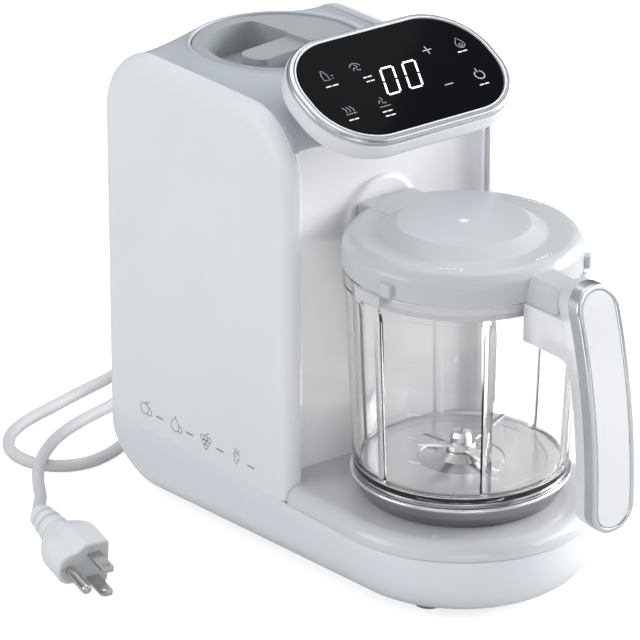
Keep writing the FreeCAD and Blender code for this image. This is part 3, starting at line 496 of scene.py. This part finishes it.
def make_plug():
    """The moulded plug, its face, its ribbed relief and its three pins."""
    loops = [plug_loop(0, 0, 0)]
    for step in range(1, 13):
        along = step / 12
        loops.append(plug_loop(math.sin(along * math.pi / 2) ** 0.9, 0.6 * (1 - along), 16 * along))
    loops += [plug_loop(1, inset, height) for inset, height in ((0, 29.6), (0.3, 30.2), (0.9, 30.5))]
    body = piece("plug_moulding", placed(loft(loops), plug_matrix(PLUG_LONG)), "plug",
                 nodes=["plug_body"])
    face = [[(*point, height) for point in plug_outline(inset)]
            for inset, height in ((1.3, 30.2), (1.1, 30.7), (1.5, 31))]
    front = piece("plug_face", placed(loft(face), plug_matrix(PLUG_LONG)), "plug_face")

    ribs = [(0.4, 0, 0), (4.4, 0, 1), (4.5, 2.6, 0.5), (5.9, 3.0, 0.8), (6.0, 6.2, 0.8), (4.9, 6.8, 0.5),
            (5.0, 8.4, 0.5), (6.7, 9.0, 0.8), (6.8, 12.2, 0.8), (5.6, 12.8, 0.5), (5.7, 14.4, 0.5),
            (7.4, 15.0, 0.8), (7.4, RELIEF_LONG, 0.5), (0.4, RELIEF_LONG, 0)]
    relief = piece("plug_relief_ribs", placed(revolve(rounded(ribs, 3), turns=48), plug_matrix(51)),
                   "plug", nodes=["plug_relief"])

    blades = []
    rim = evenly_spaced(rounded([(-0.15, 0, 0), (-0.15, 14.6, 0.3), (1.3, 16.4, 0.3), (4.75, 16.4, 0.3),
                                 (6.2, 14.6, 0.3), (6.2, 0, 0)], 3), 72)
    hole_middle = Vector((3.02, 12.2))
    hole = [hole_middle + (point - hole_middle).normalized() * 1.7 for point in rim]
    for middle in (-6.35, 6.35):
        sides = [[(a, middle + half, b) for a, b in ring]
                 for ring, half in ((rim, 0.75), (rim, -0.75), (hole, -0.75), (hole, 0.75))]
        blades.append(loft(sides, closed=True))
    round_pin = rounded([(0, 0, 0), (2.4, 0, 0), (2.4, 18.9, 2.2), (0, 18.9, 0)], 6)
    pin = revolve(round_pin, x=-8.8, turns=32)
    pins = piece("plug_contacts", placed(joined(*blades, pin), plug_matrix(-0.1)), "pins",
                 nodes=["plug_pins"])
    return [body, front, relief, pins]


def make_boot():
    """The tapered, ribbed boot where the lead leaves the rear cover."""
    profile = [(3.08, -6, 0), (7, -6, 0.5), (7, -3, 0.4), (5, -3, 0), (5, 0.1, 0),
               (7.5, 0.1, 0.2), (7.5, 2.4, 0.8)]
    for rib in range(5):
        start, thick = 3.6 + rib * 4, 6.1 - rib * 0.36
        profile += [(thick, start, 0.4), (thick - 0.1, start + 2.6, 0.4),
                    (thick - 1.0, start + 3.0, 0.2), (thick - 1.0, start + 3.7, 0.2)]
    profile += [(4.1, 23.8, 0.3), (4.0, 24.4, 0.3), (3.08, 24.4, 0)]
    return piece("cord_boot", revolve(rounded(profile, 3), 24, 145.5, 48, axis="y", turns=64), "cord",
                 nodes=["cord_gland"])


mains_lead, lead_start = make_cord()
plug_pieces = make_plug()
boot = make_boot()


# ---------------------------------------------------------------- casing

SIDE_OUTER, SIDE_WIDTH, SIDE_BEND = 64, 8, 7.9
CHEEK_FRONT, CHEEK_REAR, CHEEK_LOW, CHEEK_HIGH = 5.5, 147.5, 34.5, 222.4
CENTRE_HALF = 55.8
TANK_Y = 92.5
PORT_Z = 159
JUG_Y = -42.5


def cheek_outline(inset):
    """The tower's side view above the seam, drawn in by an inset."""
    front, rear, high = CHEEK_FRONT + inset, CHEEK_REAR - inset, CHEEK_HIGH - inset
    return rounded([(front, CHEEK_LOW, 0), (front, high, 34 - inset), (rear, high, 33 - inset),
                    (rear, CHEEK_LOW + 7, 20), (rear - 0.4, CHEEK_LOW, 0)], 20)


def make_side_cover(name, side):
    """A tray-shaped side moulding whose whole outer edge is one soft bend."""
    rows = [(5.4, 3.8), (0.2, 3.6), (0, 3.4), (0, 0.25), (0.12, 0)]
    for step in range(1, 13):
        angle = math.pi / 2 * step / 12
        rows.append((SIDE_WIDTH - SIDE_BEND * (1 - math.sin(angle)), SIDE_BEND * (1 - math.cos(angle))))
    loops = [[(side * (SIDE_OUTER - SIDE_WIDTH + out), y, z) for y, z in cheek_outline(inset)]
             for out, inset in rows]
    return piece(name, loft(loops), "shell", nodes=[name.replace("_shell", "_cover")])


CROWN_FRONT_LOW = 205
CROWN_PROFILE = rounded([(8, 196, 0), (8, 219.6, 23.2), (145.5, 219.6, 23.4), (145.5, 196, 0)], 20)
CROWN_PROFILE = [point for point in CROWN_PROFILE if point.x > 70 or point.y > CROWN_FRONT_LOW]
LIP_RADIUS, LIP_HIGH, FLARE_REACH = 43.3, 222.7, 25


def along_profile(distance):
    """The (y, z) point at a distance along the crown's side profile."""
    for start, end in zip(CROWN_PROFILE, CROWN_PROFILE[1:]):
        run = (end - start).length
        if distance <= run:
            return start.lerp(end, distance / run)
        distance -= run
    return CROWN_PROFILE[-1]


def distance_at(y):
    """The distance along the crown's side profile at which it reaches a depth."""
    total = 0
    for start, end in zip(CROWN_PROFILE, CROWN_PROFILE[1:]):
        if end.x >= y > start.x:
            return total + (y - start.x) / (end.x - start.x) * (end - start).length
        total += (end - start).length
    return total


def make_crown():
    """The top cover: a bent sheet that flares up smoothly to the lip round the tank lid."""
    total = sum((end - start).length for start, end in zip(CROWN_PROFILE, CROWN_PROFILE[1:]))
    middle = distance_at(TANK_Y)
    corners = [math.atan2(end - middle, side)
               for side in (-CENTRE_HALF, CENTRE_HALF) for end in (0, total)]
    angles = sorted([FULL_TURN * step / 160 - math.pi for step in range(160)] + corners)
    rings = 44
    loops = []
    for ring in range(rings + 1):
        share = (ring / rings) ** 1.3
        loop = []
        for angle in angles:
            across, up = math.cos(angle), math.sin(angle)
            start = Vector((LIP_RADIUS * across, distance_at(TANK_Y + LIP_RADIUS * up)))
            to_side = CENTRE_HALF / max(1e-6, abs(across))
            to_end = (total - middle if up > 0 else middle) / max(1e-6, abs(up))
            end = Vector((across, up)) * min(to_side, to_end) + Vector((0, middle))
            x, distance = start.lerp(end, share)
            y, z = along_profile(min(max(distance, 0), total))
            reach = min(FLARE_REACH, 0.9 * (end - start).length)
            rise = max(0, 1 - share * (end - start).length / reach) ** 2.4
            loop.append((x, y, z + (LIP_HIGH - z) * rise))
        loops.append(loop)
    points, faces = loft(loops)
    crown = piece("crown_cover", (points, faces[:-2]), "crown", nodes=["top_cover"])
    shell = crown.modifiers.new("wall", "SOLIDIFY")
    shell.thickness = 1.8 * MM
    shell.offset = -1
    crown.modifiers.move(crown.modifiers.find("wall"), 0)
    return crown


def make_lip():
    """The thin raised ring round the tank lid."""
    profile = rounded([(41.35, 208.4, 0.2), (43.35, 208.4, 0.2), (43.35, 223.1, 0.9),
                       (41.35, 223.1, 0.6)], 5)
    return piece("tank_lip", revolve(profile, y=TANK_Y, turns=160), "crown", nodes=["tank_collar"])


def make_alcove():
    """The glossy wall behind the jug, curving forward to the side covers."""
    outline = rounded([(-55.8, 8, 0.3), (-53.4, 8, 0.9), (-53.4, 17.5, 9), (53.4, 17.5, 9),
                       (53.4, 8, 0.9), (55.8, 8, 0.3), (55.8, 19.9, 11), (-55.8, 19.9, 11)], 12)
    loops = [[(x, y, z) for x, y in outline] for z in (43.1, CROWN_FRONT_LOW)]
    return piece("alcove_wall", loft(loops), "panel", nodes=["front_panel"])


def make_port():
    """The round boss that the jug lid's neck meets, blended into the wall."""
    profile = rounded([(7.05, 14.6, 0.4), (20.5, 14.5, 2.4), (20.5, 17.0, 0.4), (22, 17.45, 0),
                       (7.05, 17.45, 0)], 8)
    return piece("port_boss", revolve(profile, z=PORT_Z, axis="y"), "panel", nodes=["steam_port"])


PAN_LOW, PAN_TOP, PAN_FRONT_BEND, PAN_REAR_BEND = 4, 34.4, 20, 6
CORNER_Y, CORNER_Z, CORNER_BEND = 111.5, 40, 36


def pan_section(origin, outward, reach, low, bend, steps=14):
    """Half a slice of the pan: down its wall, round its lower bend and in to the middle."""
    bend = min(bend, PAN_TOP - low)
    rows = [(reach, PAN_TOP), (reach, low + bend + (PAN_TOP - low - bend) * 0.5)]
    for step in range(steps + 1):
        angle = math.pi / 2 * step / steps
        rows.append((reach - bend * (1 - math.cos(angle)), low + bend * (1 - math.sin(angle))))
    rows += [((reach - bend) * share, low) for share in (0.66, 0.33, 0)]
    return [(origin[0] + outward[0] * out, origin[1] + outward[1] * out, z) for out, z in rows]


def make_pan():
    """The bottom tray, whose lower side edges turn from a wide bend in front to a tight one behind."""
    stations = [JUG_Y + (CORNER_Y - JUG_Y) * step / 24 for step in range(25)]
    turned = math.acos((CORNER_Z - PAN_TOP) / CORNER_BEND)
    stations += [CORNER_Y + CORNER_BEND * math.sin(turned * step / 24) for step in range(1, 25)]
    sides = []
    for y in stations:
        low = CORNER_Z - math.sqrt(CORNER_BEND ** 2 - max(0, y - CORNER_Y) ** 2)
        share = min(1, (y - JUG_Y) / (CORNER_Y - JUG_Y))
        past = min(SIDE_BEND, max(0, y - CHEEK_REAR + SIDE_BEND))
        reach = SIDE_OUTER - SIDE_BEND + math.sqrt(SIDE_BEND ** 2 - past ** 2)
        sides.append((y, reach, low, PAN_FRONT_BEND + (PAN_REAR_BEND - PAN_FRONT_BEND) * share))
    sections = [pan_section((0, y), (-1, 0), reach, low, bend) for y, reach, low, bend in reversed(sides)]
    for step in range(1, 64):
        angle = math.pi * (1 + step / 64)
        sections.append(pan_section((0, JUG_Y), (math.cos(angle), math.sin(angle)), SIDE_OUTER, PAN_LOW,
                                    PAN_FRONT_BEND))
    sections += [pan_section((0, y), (1, 0), reach, low, bend) for y, reach, low, bend in sides]
    count = len(sections[0])
    faces = [(row * count + column, row * count + column + 1, (row + 1) * count + column + 1,
              (row + 1) * count + column)
             for row in range(len(sections) - 1) for column in range(count - 1)]
    points = [Vector(point) for section in sections for point in section]
    pan = piece("pan_moulding", (points, faces), "pan", nodes=["base_pan"])
    shell = pan.modifiers.new("wall", "SOLIDIFY")
    shell.thickness = 1.6 * MM
    shell.offset = -1
    pan.modifiers.move(pan.modifiers.find("wall"), 0)


make_side_cover("left_side_shell", -1)
make_side_cover("right_side_shell", 1)
make_crown()
make_lip()
make_alcove()
make_port()
make_pan()
softened("tank_lid_moulding", "tank_lid", 1.3, "tank_lid", body="tank_cap", segments=4)


# ---------------------------------------------------------------- control head

HEAD_PLACE = Matrix.Translation((0, 2.5, 231.4)) @ Matrix.Rotation(math.radians(28), 4, "X")
HEAD_HALF, HEAD_REACH, HEAD_BEND = 57, 34, 31


def head_outline(inset):
    return round_rectangle(HEAD_HALF - inset, HEAD_REACH - inset, HEAD_BEND - inset, 20)


def make_head():
    """The tilted head: white housing, stepped silver bezel and black glass."""
    rows = [(12, -15), (7, -15)]
    for step in range(1, 9):
        angle = math.pi / 2 * step / 8
        rows.append((7 * (1 - math.sin(angle)), -15 + 7 * (1 - math.cos(angle))))
    rows += [(0, -3.5), (0.4, -3.05), (4, -3.05)]
    slab = loft([[(a, b, height) for a, b in head_outline(inset)] for inset, height in rows])
    neck_rows = [(0, CROWN_FRONT_LOW - 1), (0, 214), (-1, 219)]
    neck = loft([[(a, 24 + b, height) for a, b in round_rectangle(45 - inset, 14 - inset, 9 - inset)]
                 for inset, height in neck_rows])
    piece("head_shell", placed(slab, HEAD_PLACE), "head", nodes=["head_housing"])
    piece("head_neck", neck, "head")
    bezel = rounded([(0.5, -3, 0), (0.5, -1.4, 1.0), (1.5, -0.2, 0.8), (3.2, 0.15, 0.3), (3.5, -3, 0)], 5)
    piece("head_rim", placed(swept(head_outline, bezel), HEAD_PLACE), "satin", nodes=["head_bezel"])
    # This white edge ring paints in the glint that runs along the glass edge.
    edge = rounded([(3.5, -2.8, 0), (3.5, 0.6, 0.2), (4.2, 0.55, 0.3), (4.4, -2.8, 0)], 4)
    piece("head_glass_edge", placed(swept(head_outline, edge), HEAD_PLACE), "glass_edge_glint")
    glass = [[(a, b, height) for a, b in round_rectangle(52.5 - inset, 30 - inset, 28 - inset, 20)]
             for inset, height in ((0, -2), (0, -0.25), (0.1, -0.05), (0.35, 0.02), (1, 0.02))]
    piece("head_glass", placed(loft(glass), HEAD_PLACE), "glass", nodes=["touch_glass"])


DIGIT_WIDE, DIGIT_HIGH, DIGIT_SLANT, DIGIT_STEP = 7.2, 15.2, 0.38, 12.9
SEGMENT = 0.9


def make_digits():
    """Two seven-segment zeros, leaning as such displays do."""
    bars = []
    half, mid, gap = DIGIT_WIDE / 2, DIGIT_HIGH / 2, 0.55
    runs = [((-half + gap, mid), (half - gap, mid)), ((-half + gap, -mid), (half - gap, -mid))]
    for side in (-half, half):
        runs += [((side, gap), (side, mid - gap)), ((side, -mid + gap), (side, -gap))]
    for centre in (-7.0, -7.0 + DIGIT_STEP):
        for run in runs:
            path = [(centre + u + DIGIT_SLANT * v, -0.8 + v) for u, v in run]
            bars.append(stroke(path, SEGMENT))
    piece("display_digits", placed(joined(*bars), HEAD_PLACE), "digits")


def make_icons():
    """Simple marks for the touch keys, with a short bar under each instead of a word."""
    line = 0.42
    marks, signs, labels = [], [], []

    def add(path, closed=False, width=line):
        marks.append(stroke(path, width, closed))

    def label(u, v, long=5.5, rows=1):
        for row in range(rows):
            for dash in (-0.27, 0.27):
                middle = u + dash * long
                ends = (middle - long * 0.22, middle + long * 0.22)
                labels.append(stroke([(end, v - 2.6 * row) for end in ends], 0.6))

    for path in ([(20.0, 10.2), (25.0, 10.2)], [(22.5, 7.7), (22.5, 9.85)], [(22.5, 10.55), (22.5, 12.7)],
                 [(17.2, -11.7), (22.0, -11.7)], arc(38.1, -11.2, 2.5, 120, 420, 24),
                 [(38.1, -9.6), (38.1, -7.2)]):
        signs.append(stroke(path, 0.5))
    label(36.8, -17.0)
    add([(41, 12.6), *arc(41, 8.6, 2.3, 40, -220, 20)], closed=True)
    add(arc(41, 8.0, 0.9), closed=True)
    label(39.3, 4.2)
    add([(-38.2, 8.4), (-35.2, 8.4), (-35.2, 12), (-36, 13), (-36, 14.2), (-37.4, 14.2), (-37.4, 13),
         (-38.2, 12)], closed=True)
    add([(-33.8, 8.8), (-33.0, 8.8)])
    add([(-33.4, 10.4), (-32.2, 10.4)])
    label(-36.6, 4.8, 7)
    for turn in (0, 120, 240):
        for u, v in ((-18.6, 10.8), (-19.3, -10.8)):
            add([(u + 2.3 * math.cos(math.radians(turn + bend)) * bend / 90,
                  v + 2.3 * math.sin(math.radians(turn + bend)) * bend / 90)
                 for bend in range(15, 91, 15)])
    add(arc(-18.6, 10.8, 3.1, 20, 160, 12))
    label(-16.6, 4.4, 4.8, rows=2)
    add([(-22.4, -14.0), (-16.2, -14.0)])
    label(-20.2, -17.0, 5.6, rows=2)
    for shift in (-2, 0, 2):
        add([(-38 + shift + 0.5 * math.sin(rise * 1.4), -12 + rise)
             for rise in (0, 0.7, 1.4, 2.1, 2.8, 3.5)])
    add([(-41, -13), (-35, -13)])
    label(-39.0, -16.4)
    piece("touch_marks", placed(joined(*marks), HEAD_PLACE), "icons")
    piece("touch_signs", placed(joined(*signs), HEAD_PLACE), "signs")
    piece("touch_labels", placed(joined(*labels), HEAD_PLACE), "labels")


make_head()
make_digits()
make_icons()


# ---------------------------------------------------------------- jug

RIBS, RIB_DEEP, RIB_START = 6, 1.2, math.radians(3)
RIB_TOP_HALF, RIB_FOOT_HALF = math.radians(1.6), math.radians(2.6)


def rib_bulge(angle, radius, height):
    """The ribs, with flat tops, that stand in from the jug's inner wall."""
    if not (40 <= radius <= 51.4 and 59 <= height <= 145):
        return 0
    pitch = FULL_TURN / RIBS
    away = abs((angle - RIB_START + pitch / 2) % pitch - pitch / 2)
    return -RIB_DEEP * min(1, max(0, (RIB_FOOT_HALF - away) / (RIB_FOOT_HALF - RIB_TOP_HALF)))


HOOK_ANGLES = (-178, -58, 62)


def arc_block(start, end, radii, heights, bend, steps=10):
    """A block with soft edges, curved round the jug's axis between two angles in degrees."""
    middle, half = (radii[0] + radii[1]) / 2, (radii[1] - radii[0]) / 2
    centre, tall = (heights[0] + heights[1]) / 2, (heights[1] - heights[0]) / 2
    loops = []
    for step in range(steps + 1):
        inset = bend * 0.7 if step in (0, steps) else 0
        angle = math.radians(start + (end - start) * step / steps)
        loops.append([((middle + a) * math.cos(angle), JUG_Y + (middle + a) * math.sin(angle), centre + b)
                      for a, b in round_rectangle(half - inset, tall - inset, bend, 4)])
    return loft(loops)


def make_jug():
    """The clear jug with its ribs and rim, its hooks and level ticks, its steel ring and foot."""
    profile = rounded([
        (20, 56, 0), (46, 56, 0), (46.4, 54.8, 0), (49.7, 54.8, 0.5), (53.6, 145.6, 0.4),
        (54.9, 146.2, 0.5), (54.9, 155, 0.7), (51, 155, 0.5),
        (51, 145.6, 0), (50.7, 140, 0), (49.0, 101, 0), (47.5, 66, 0), (46.9, 58.4, 4), (20, 58.4, 0)], 5)
    shell = revolve(profile, y=JUG_Y, turns=360, bulge=rib_bulge)
    piece("jug_shell", shell, "clear", "jug", ["jug_body"])
    ledges = [arc_block(angle - 10, angle + 7, (54.7, 57.4), (149.5, 155.2), 0.5)
              for angle in HOOK_ANGLES]
    piece("jug_hooks", joined(*ledges), "hook", "jug")
    ticks = []
    for level, z in enumerate((76, 88, 100, 112, 124)):
        radius = 50 + (z - 56) / 89.6 * 3.6 + 0.02
        span = 7 if level % 2 == 0 else 4
        loops = []
        for step in range(7):
            angle = math.radians(-158 + span * step / 6)
            across, along = math.cos(angle), math.sin(angle)
            loops.append([((radius + out) * across, JUG_Y + (radius + out) * along, z + up)
                          for out, up in ((-0.1, -0.3), (0.22, -0.2), (0.22, 0.2), (-0.1, 0.3))])
        ticks.append(loft(loops))
    piece("jug_level_ticks", joined(*ticks), "emboss", "jug")
    ring = rounded([(46.2, 52.9, 0.2), (50.9, 52.9, 0.8), (51.3, 54.0, 0.6), (50.6, 54.7, 0.3),
                    (46.2, 54.7, 0.2)], 5)
    piece("jug_band", revolve(ring, y=JUG_Y, turns=160), "chrome", "jug", ["jug_ring"])
    # The foot's dark purplish metal partly paints in the shadow band below the steel ring.
    foot = rounded([
        (15, 43.4, 0.5), (45, 43.4, 1.2), (48.6, 48.4, 3), (49.8, 52.8, 0.6), (46, 52.8, 0),
        (46, 55.85, 0.2), (10.15, 55.85, 0.1), (10.15, 53.6, 0.1), (42.6, 53.6, 1), (42.6, 46, 1),
        (15, 46, 0.4)], 4)
    piece("shaded_jug_foot", revolve(foot, y=JUG_Y, turns=128), "shaded_jug_foot", "jug", ["jug_base"])
    plate = rounded([(20.2, 58.45, 0), (46.3, 58.45, 0.3), (46.5, 59.1, 0.3), (40, 59.0, 0.6),
                     (39, 58.8, 0.4), (20.2, 58.8, 0.1)], 4)
    piece("jug_floor_plate", revolve(plate, y=JUG_Y, turns=128), "floor_plate", "jug")


def make_lid():
    """The frosted jug lid: skirt, domed middle, neck to the steam port, lug, tabs and marks."""
    profile = rounded([
        (52.9, 155.3, 0.5), (55.3, 155.3, 0.5), (55.0, 165.6, 4.5), (51.2, 170.4, 5.5), (38, 170.1, 4),
        (30.6, 174.8, 1.6), (1.0, 174.95, 0), (1.0, 172.6, 0), (29, 172.4, 2), (36, 168.1, 2),
        (49, 168.1, 0.5), (49, 149, 0.4), (47, 149, 0), (47, 147, 0.4), (50, 147, 0.4), (50, 149.5, 0),
        (49.9, 149.5, 0), (49.9, 158.3, 1), (52.9, 158.3, 0.5)], 6)
    piece("lid_moulding", revolve(profile, y=JUG_Y, turns=192), "jug_lid", "lid", ["jug_lid"])
    button = rounded([(0.2, 174.5, 0), (2.6, 174.5, 0.3), (2.2, 174.98, 0.2), (0.2, 174.98, 0)], 3)
    piece("lid_centre_mark", revolve(button, y=JUG_Y, turns=32), "emboss", "lid")
    neck = [[(a, -2.3 + b, z) for a, b in round_rectangle(17 - inset, 16.5 - inset, 3 - inset)]
            for inset, z in ((0.6, 156.2), (0, 156.8), (0, 167.6), (0.3, 169.2), (1.1, 170.1),
                             (2.4, 170.4))]
    piece("lid_neck", loft(neck), "jug_lid", "lid")
    lug = []
    slices = [(9.4, 117.6, 155.4, 1.6), (9.9, 118.2, 155.9, 2), (9.3, 118.3, 160.5, 2.4),
              (7.6, 117.9, 165.2, 2.6), (6.9, 117.2, 166.6, 2.6), (5.8, 115.8, 167.3, 2.6)]
    for half, front, z, bend in slices:
        lug.append([(a, -(front + 91.9) / 2 + b, z)
                    for a, b in round_rectangle(half, (front - 91.9) / 2, bend, 8)])
    piece("lid_lug", loft(lug), "jug_lid", "lid")
    tabs = [arc_block(angle + 7.6, angle + 13.4, (54, 58), (155.9, 162), 0.8) for angle in HOOK_ANGLES]
    piece("lid_tabs", joined(*tabs), "jug_lid", "lid")
    marks = []
    for angle in (-137, -81, 9):
        turn = (Matrix.Translation((0, JUG_Y, 170.45)) @ Matrix.Rotation(math.radians(angle + 90), 4, "Z")
                @ Matrix.Translation((0, -47.3, 0)))
        for shift in (-5.5, -2.5, 0.5):
            marks.append(placed(stroke([(shift, 0), (shift + 2, 0)], 0.9, thick=0.2), turn))
        marks.append(placed(stroke([(3.6, 1.1), (5.4, 0), (3.6, -1.1)], 0.6, thick=0.2), turn))
    piece("lid_marks", joined(*marks), "emboss", "lid")


make_jug()
make_lid()
softened("handle_frame_cast", "handle_frame", 1.3, "silver", "jug", 5)
softened("handle_inlay_panel", "handle_inlay", 0.35, "inlay", "jug", 3)
softened("handle_grip_clear", "handle_grip", 1.0, "grip", "jug", 4)


# ---------------------------------------------------------------- prints on the casing

# The left side cover's own axes: u to the front, v up, and out of the surface.
SIDE_PLACE = Matrix(((0, 0, -1, -SIDE_OUTER), (-1, 0, 0, 0), (0, 1, 0, 0), (0, 0, 0, 1)))


def fruit_outlines():
    """Line drawings of an apple, a pear, a bunch of grapes and a carrot, each about 8 mm across."""
    leaf = [(0.2, 3.0), (1.1, 4.2), (2.6, 4.4), (1.6, 3.2)]
    apple = [(arc(-1.2, 0, 2.9, 60, 400, 24), True), (arc(2.0, -0.7, 2.2, -130, 95, 14), False),
             ([(-0.6, 2.3), (-0.2, 3.9)], False), (leaf, True)]
    pear = [(arc(-0.6, -0.9, 2.9, 150, 390) + [(0.9, 2.3), (0.2, 3.4), (-1.0, 3.4), (-1.9, 2.2)], True),
            ([(-0.3, 3.4), (0.2, 4.8)], False), (arc(2.9, -1.6, 1.7, -140, 120, 14), False)]
    grapes = [(arc(u, v, 1.35, 0, 360, 12), True)
              for u, v in ((-2.6, 1.3), (0, 1.6), (2.6, 1.2), (-1.4, -0.9), (1.3, -0.9), (0, -3.0))]
    grapes.append(([(0.3, 2.9), (0.8, 4.4), (2.4, 4.6)], False))
    carrot = [([(-2.2, 1.8), (2.2, 1.8), (1.4, -1.4), (0, -3.8), (-1.4, -1.4)], True),
              ([(-0.9, 1.9), (-1.8, 4.4)], False), ([(0, 1.9), (0.1, 4.8)], False),
              ([(0.9, 1.9), (1.9, 4.3)], False), ([(-1.7, 0.3), (-0.2, 0.3)], False),
              ([(0.2, -1.2), (1.2, -1.2)], False)]
    return [apple, pear, grapes, carrot]


def make_fruit_row():
    """The row of outlines and dashes along the foot of the left side cover."""
    shapes = []
    for index, fruit in enumerate(fruit_outlines()):
        across, up = -114.5 + index * 23.6, 44.8
        for path, closed in fruit:
            path = [(across + u * 1.05, up + v * 0.95) for u, v in path]
            shapes.append(stroke(path, 0.42, closed, thick=0.04))
        shapes.append(stroke([(across + 8.2, up - 0.9), (across + 13.6, up - 0.9)], 0.75, thick=0.04))
    piece("side_print", placed(joined(*shapes), SIDE_PLACE), "print")


def make_stand_mark():
    """A small plain mark on the front of the stand that shows where the jug lines up."""
    shapes = []
    for angle, high in ((-143.4, 2.6), (-142.2, 3.4), (-140.6, 1.6)):
        turn = (Matrix.Translation((0, JUG_Y, 43)) @ Matrix.Rotation(math.radians(angle + 90), 4, "Z")
                @ Matrix.Translation((0, -55, 0)))
        shapes.append(placed(stroke([(0, -high / 2), (0.5, high / 2)], 0.5, thick=0.08), turn))
    piece("stand_mark", joined(*shapes), "emboss")


make_fruit_row()
make_stand_mark()


# ---------------------------------------------------------------- parts that keep their CAD shape

KEPT = {
    "stand": ["base_cover"],
    "rubber": ["rubber_feet"],
    "shell": ["rear_cover"],
    "works": ["chassis_plate", "water_pump", "motor_bracket", "cord_clamp", "thermostat",
              "interlock_switch"],
    "steel": ["cover_screws", "blade_shaft", "motor_shaft", "blade_nut", "blade_bearing"],
    "blade": ["blade_set"],
    "alloy": ["boiler_body", "boiler_cover", "heating_element"],
    "brass": ["motor_bushes", "steam_nozzle"],
    "motor": ["motor_can", "motor_rotor"],
    "seal": ["steam_seal", "lid_seal", "tank_lid_seal", "tank_valve"],
    "hose": ["water_hose", "steam_hose"],
    "tank": ["water_tank"],
    "circuit": ["power_board", "display_board"],
    "dark": ["board_parts", "drive_coupling", "driven_coupling"],
    "panel": ["interlock_plunger"],
}


def finish_kept_parts():
    for look, names in KEPT.items():
        for name in names:
            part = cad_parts[name]
            part.data.materials.clear()
            part.data.materials.append(LOOKS[look])
            smooth(part, 30)


finish_kept_parts()


# ---------------------------------------------------------------- floor and light

FLOOR_GREY = (0.7, 0.7, 0.7)
FLOOR_GLOW = 0.7
LIGHT_AIM = Vector((0, 0, 0.1))


def seen_directly(nodes, links):
    """1 for what the camera sees itself or through clear plastic, 0 for light on other surfaces."""
    path = nodes.new("ShaderNodeLightPath")
    either = nodes.new("ShaderNodeMath")
    either.operation = "MAXIMUM"
    links.new(path.outputs["Is Camera Ray"], either.inputs[0])
    links.new(path.outputs["Is Transmission Ray"], either.inputs[1])
    return either.outputs["Value"]


def make_floor():
    """A plain pale surface that stays white to the camera and throws little light back up."""
    mesh = bpy.data.meshes.new("floor")
    mesh.from_pydata([(-6, -6, 0), (6, -6, 0), (6, 6, 0), (-6, 6, 0)], [], [(0, 1, 2, 3)])
    floor = new_object("floor", mesh)
    material, shader = plain_look("floor", FLOOR_GREY, 0.7, specular=0.2)
    vary_colour(material, shader, FLOOR_GREY, 0.004, 3)
    nodes, links = material.node_tree.nodes, material.node_tree.links
    scale = nodes.new("ShaderNodeMath")
    scale.operation = "MULTIPLY"
    scale.inputs[1].default_value = FLOOR_GLOW
    links.new(seen_directly(nodes, links), scale.inputs[0])
    links.new(scale.outputs["Value"], shader.inputs["Emission Strength"])
    shader.inputs["Emission Color"].default_value = (1, 1, 1, 1)
    mesh.materials.append(material)


def softbox(name, place, size, power):
    """A rectangular area light that looks at the middle of the machine."""
    data = bpy.data.lights.new(name, "AREA")
    data.shape = "RECTANGLE"
    data.size, data.size_y = size
    data.energy = power
    light = bpy.data.objects.new(name, data)
    light.location = place
    light.rotation_euler = (Vector(place) - LIGHT_AIM).to_track_quat("Z", "Y").to_euler()
    bpy.context.scene.collection.objects.link(light)


def make_sky():
    """A studio that is bright overhead and darker at eye level, so that metal shows contrast."""
    world = bpy.data.worlds.new("studio")
    world.use_nodes = True
    bpy.context.scene.world = world
    nodes, links = world.node_tree.nodes, world.node_tree.links
    place = nodes.new("ShaderNodeTexCoord")
    split = nodes.new("ShaderNodeSeparateXYZ")
    ramp = nodes.new("ShaderNodeValToRGB")
    ramp.color_ramp.elements[0].color = (0.10, 0.10, 0.105, 1)
    ramp.color_ramp.elements[1].color = (0.70, 0.715, 0.74, 1)
    ramp.color_ramp.elements[0].position = 0.1
    ramp.color_ramp.elements[1].position = 0.9
    links.new(place.outputs["Generated"], split.inputs["Vector"])
    links.new(split.outputs["Z"], ramp.inputs["Fac"])
    links.new(ramp.outputs["Color"], nodes["Background"].inputs["Color"])
    nodes["Background"].inputs["Strength"].default_value = 1.0
    backdrop = nodes.new("ShaderNodeBackground")
    backdrop.inputs["Color"].default_value = (1, 1, 1, 1)
    mix = nodes.new("ShaderNodeMixShader")
    links.new(seen_directly(nodes, links), mix.inputs["Fac"])
    links.new(nodes["Background"].outputs["Background"], mix.inputs[1])
    links.new(backdrop.outputs["Background"], mix.inputs[2])
    links.new(mix.outputs["Shader"], nodes["World Output"].inputs["Surface"])


make_floor()
make_sky()
softbox("key", (1.3, -1.6, 0.9), (1.3, 1.0), 11.5)
softbox("side", (2.0, -0.5, 0.7), (1.2, 1.0), 47)
softbox("fill", (-2.1, 0.8, 0.8), (1.4, 1.2), 17.6)
softbox("left", (-1.9, -1.0, 1.0), (1.2, 1.0), 3.2)
softbox("front", (-1.0, -1.9, 0.2), (1.0, 0.5), 6.5)
softbox("top", (0.3, 0.4, 1.9), (1.6, 1.6), 9)
bpy.context.scene.view_settings.view_transform = "Standard"
bpy.context.scene.view_settings.look = "None"
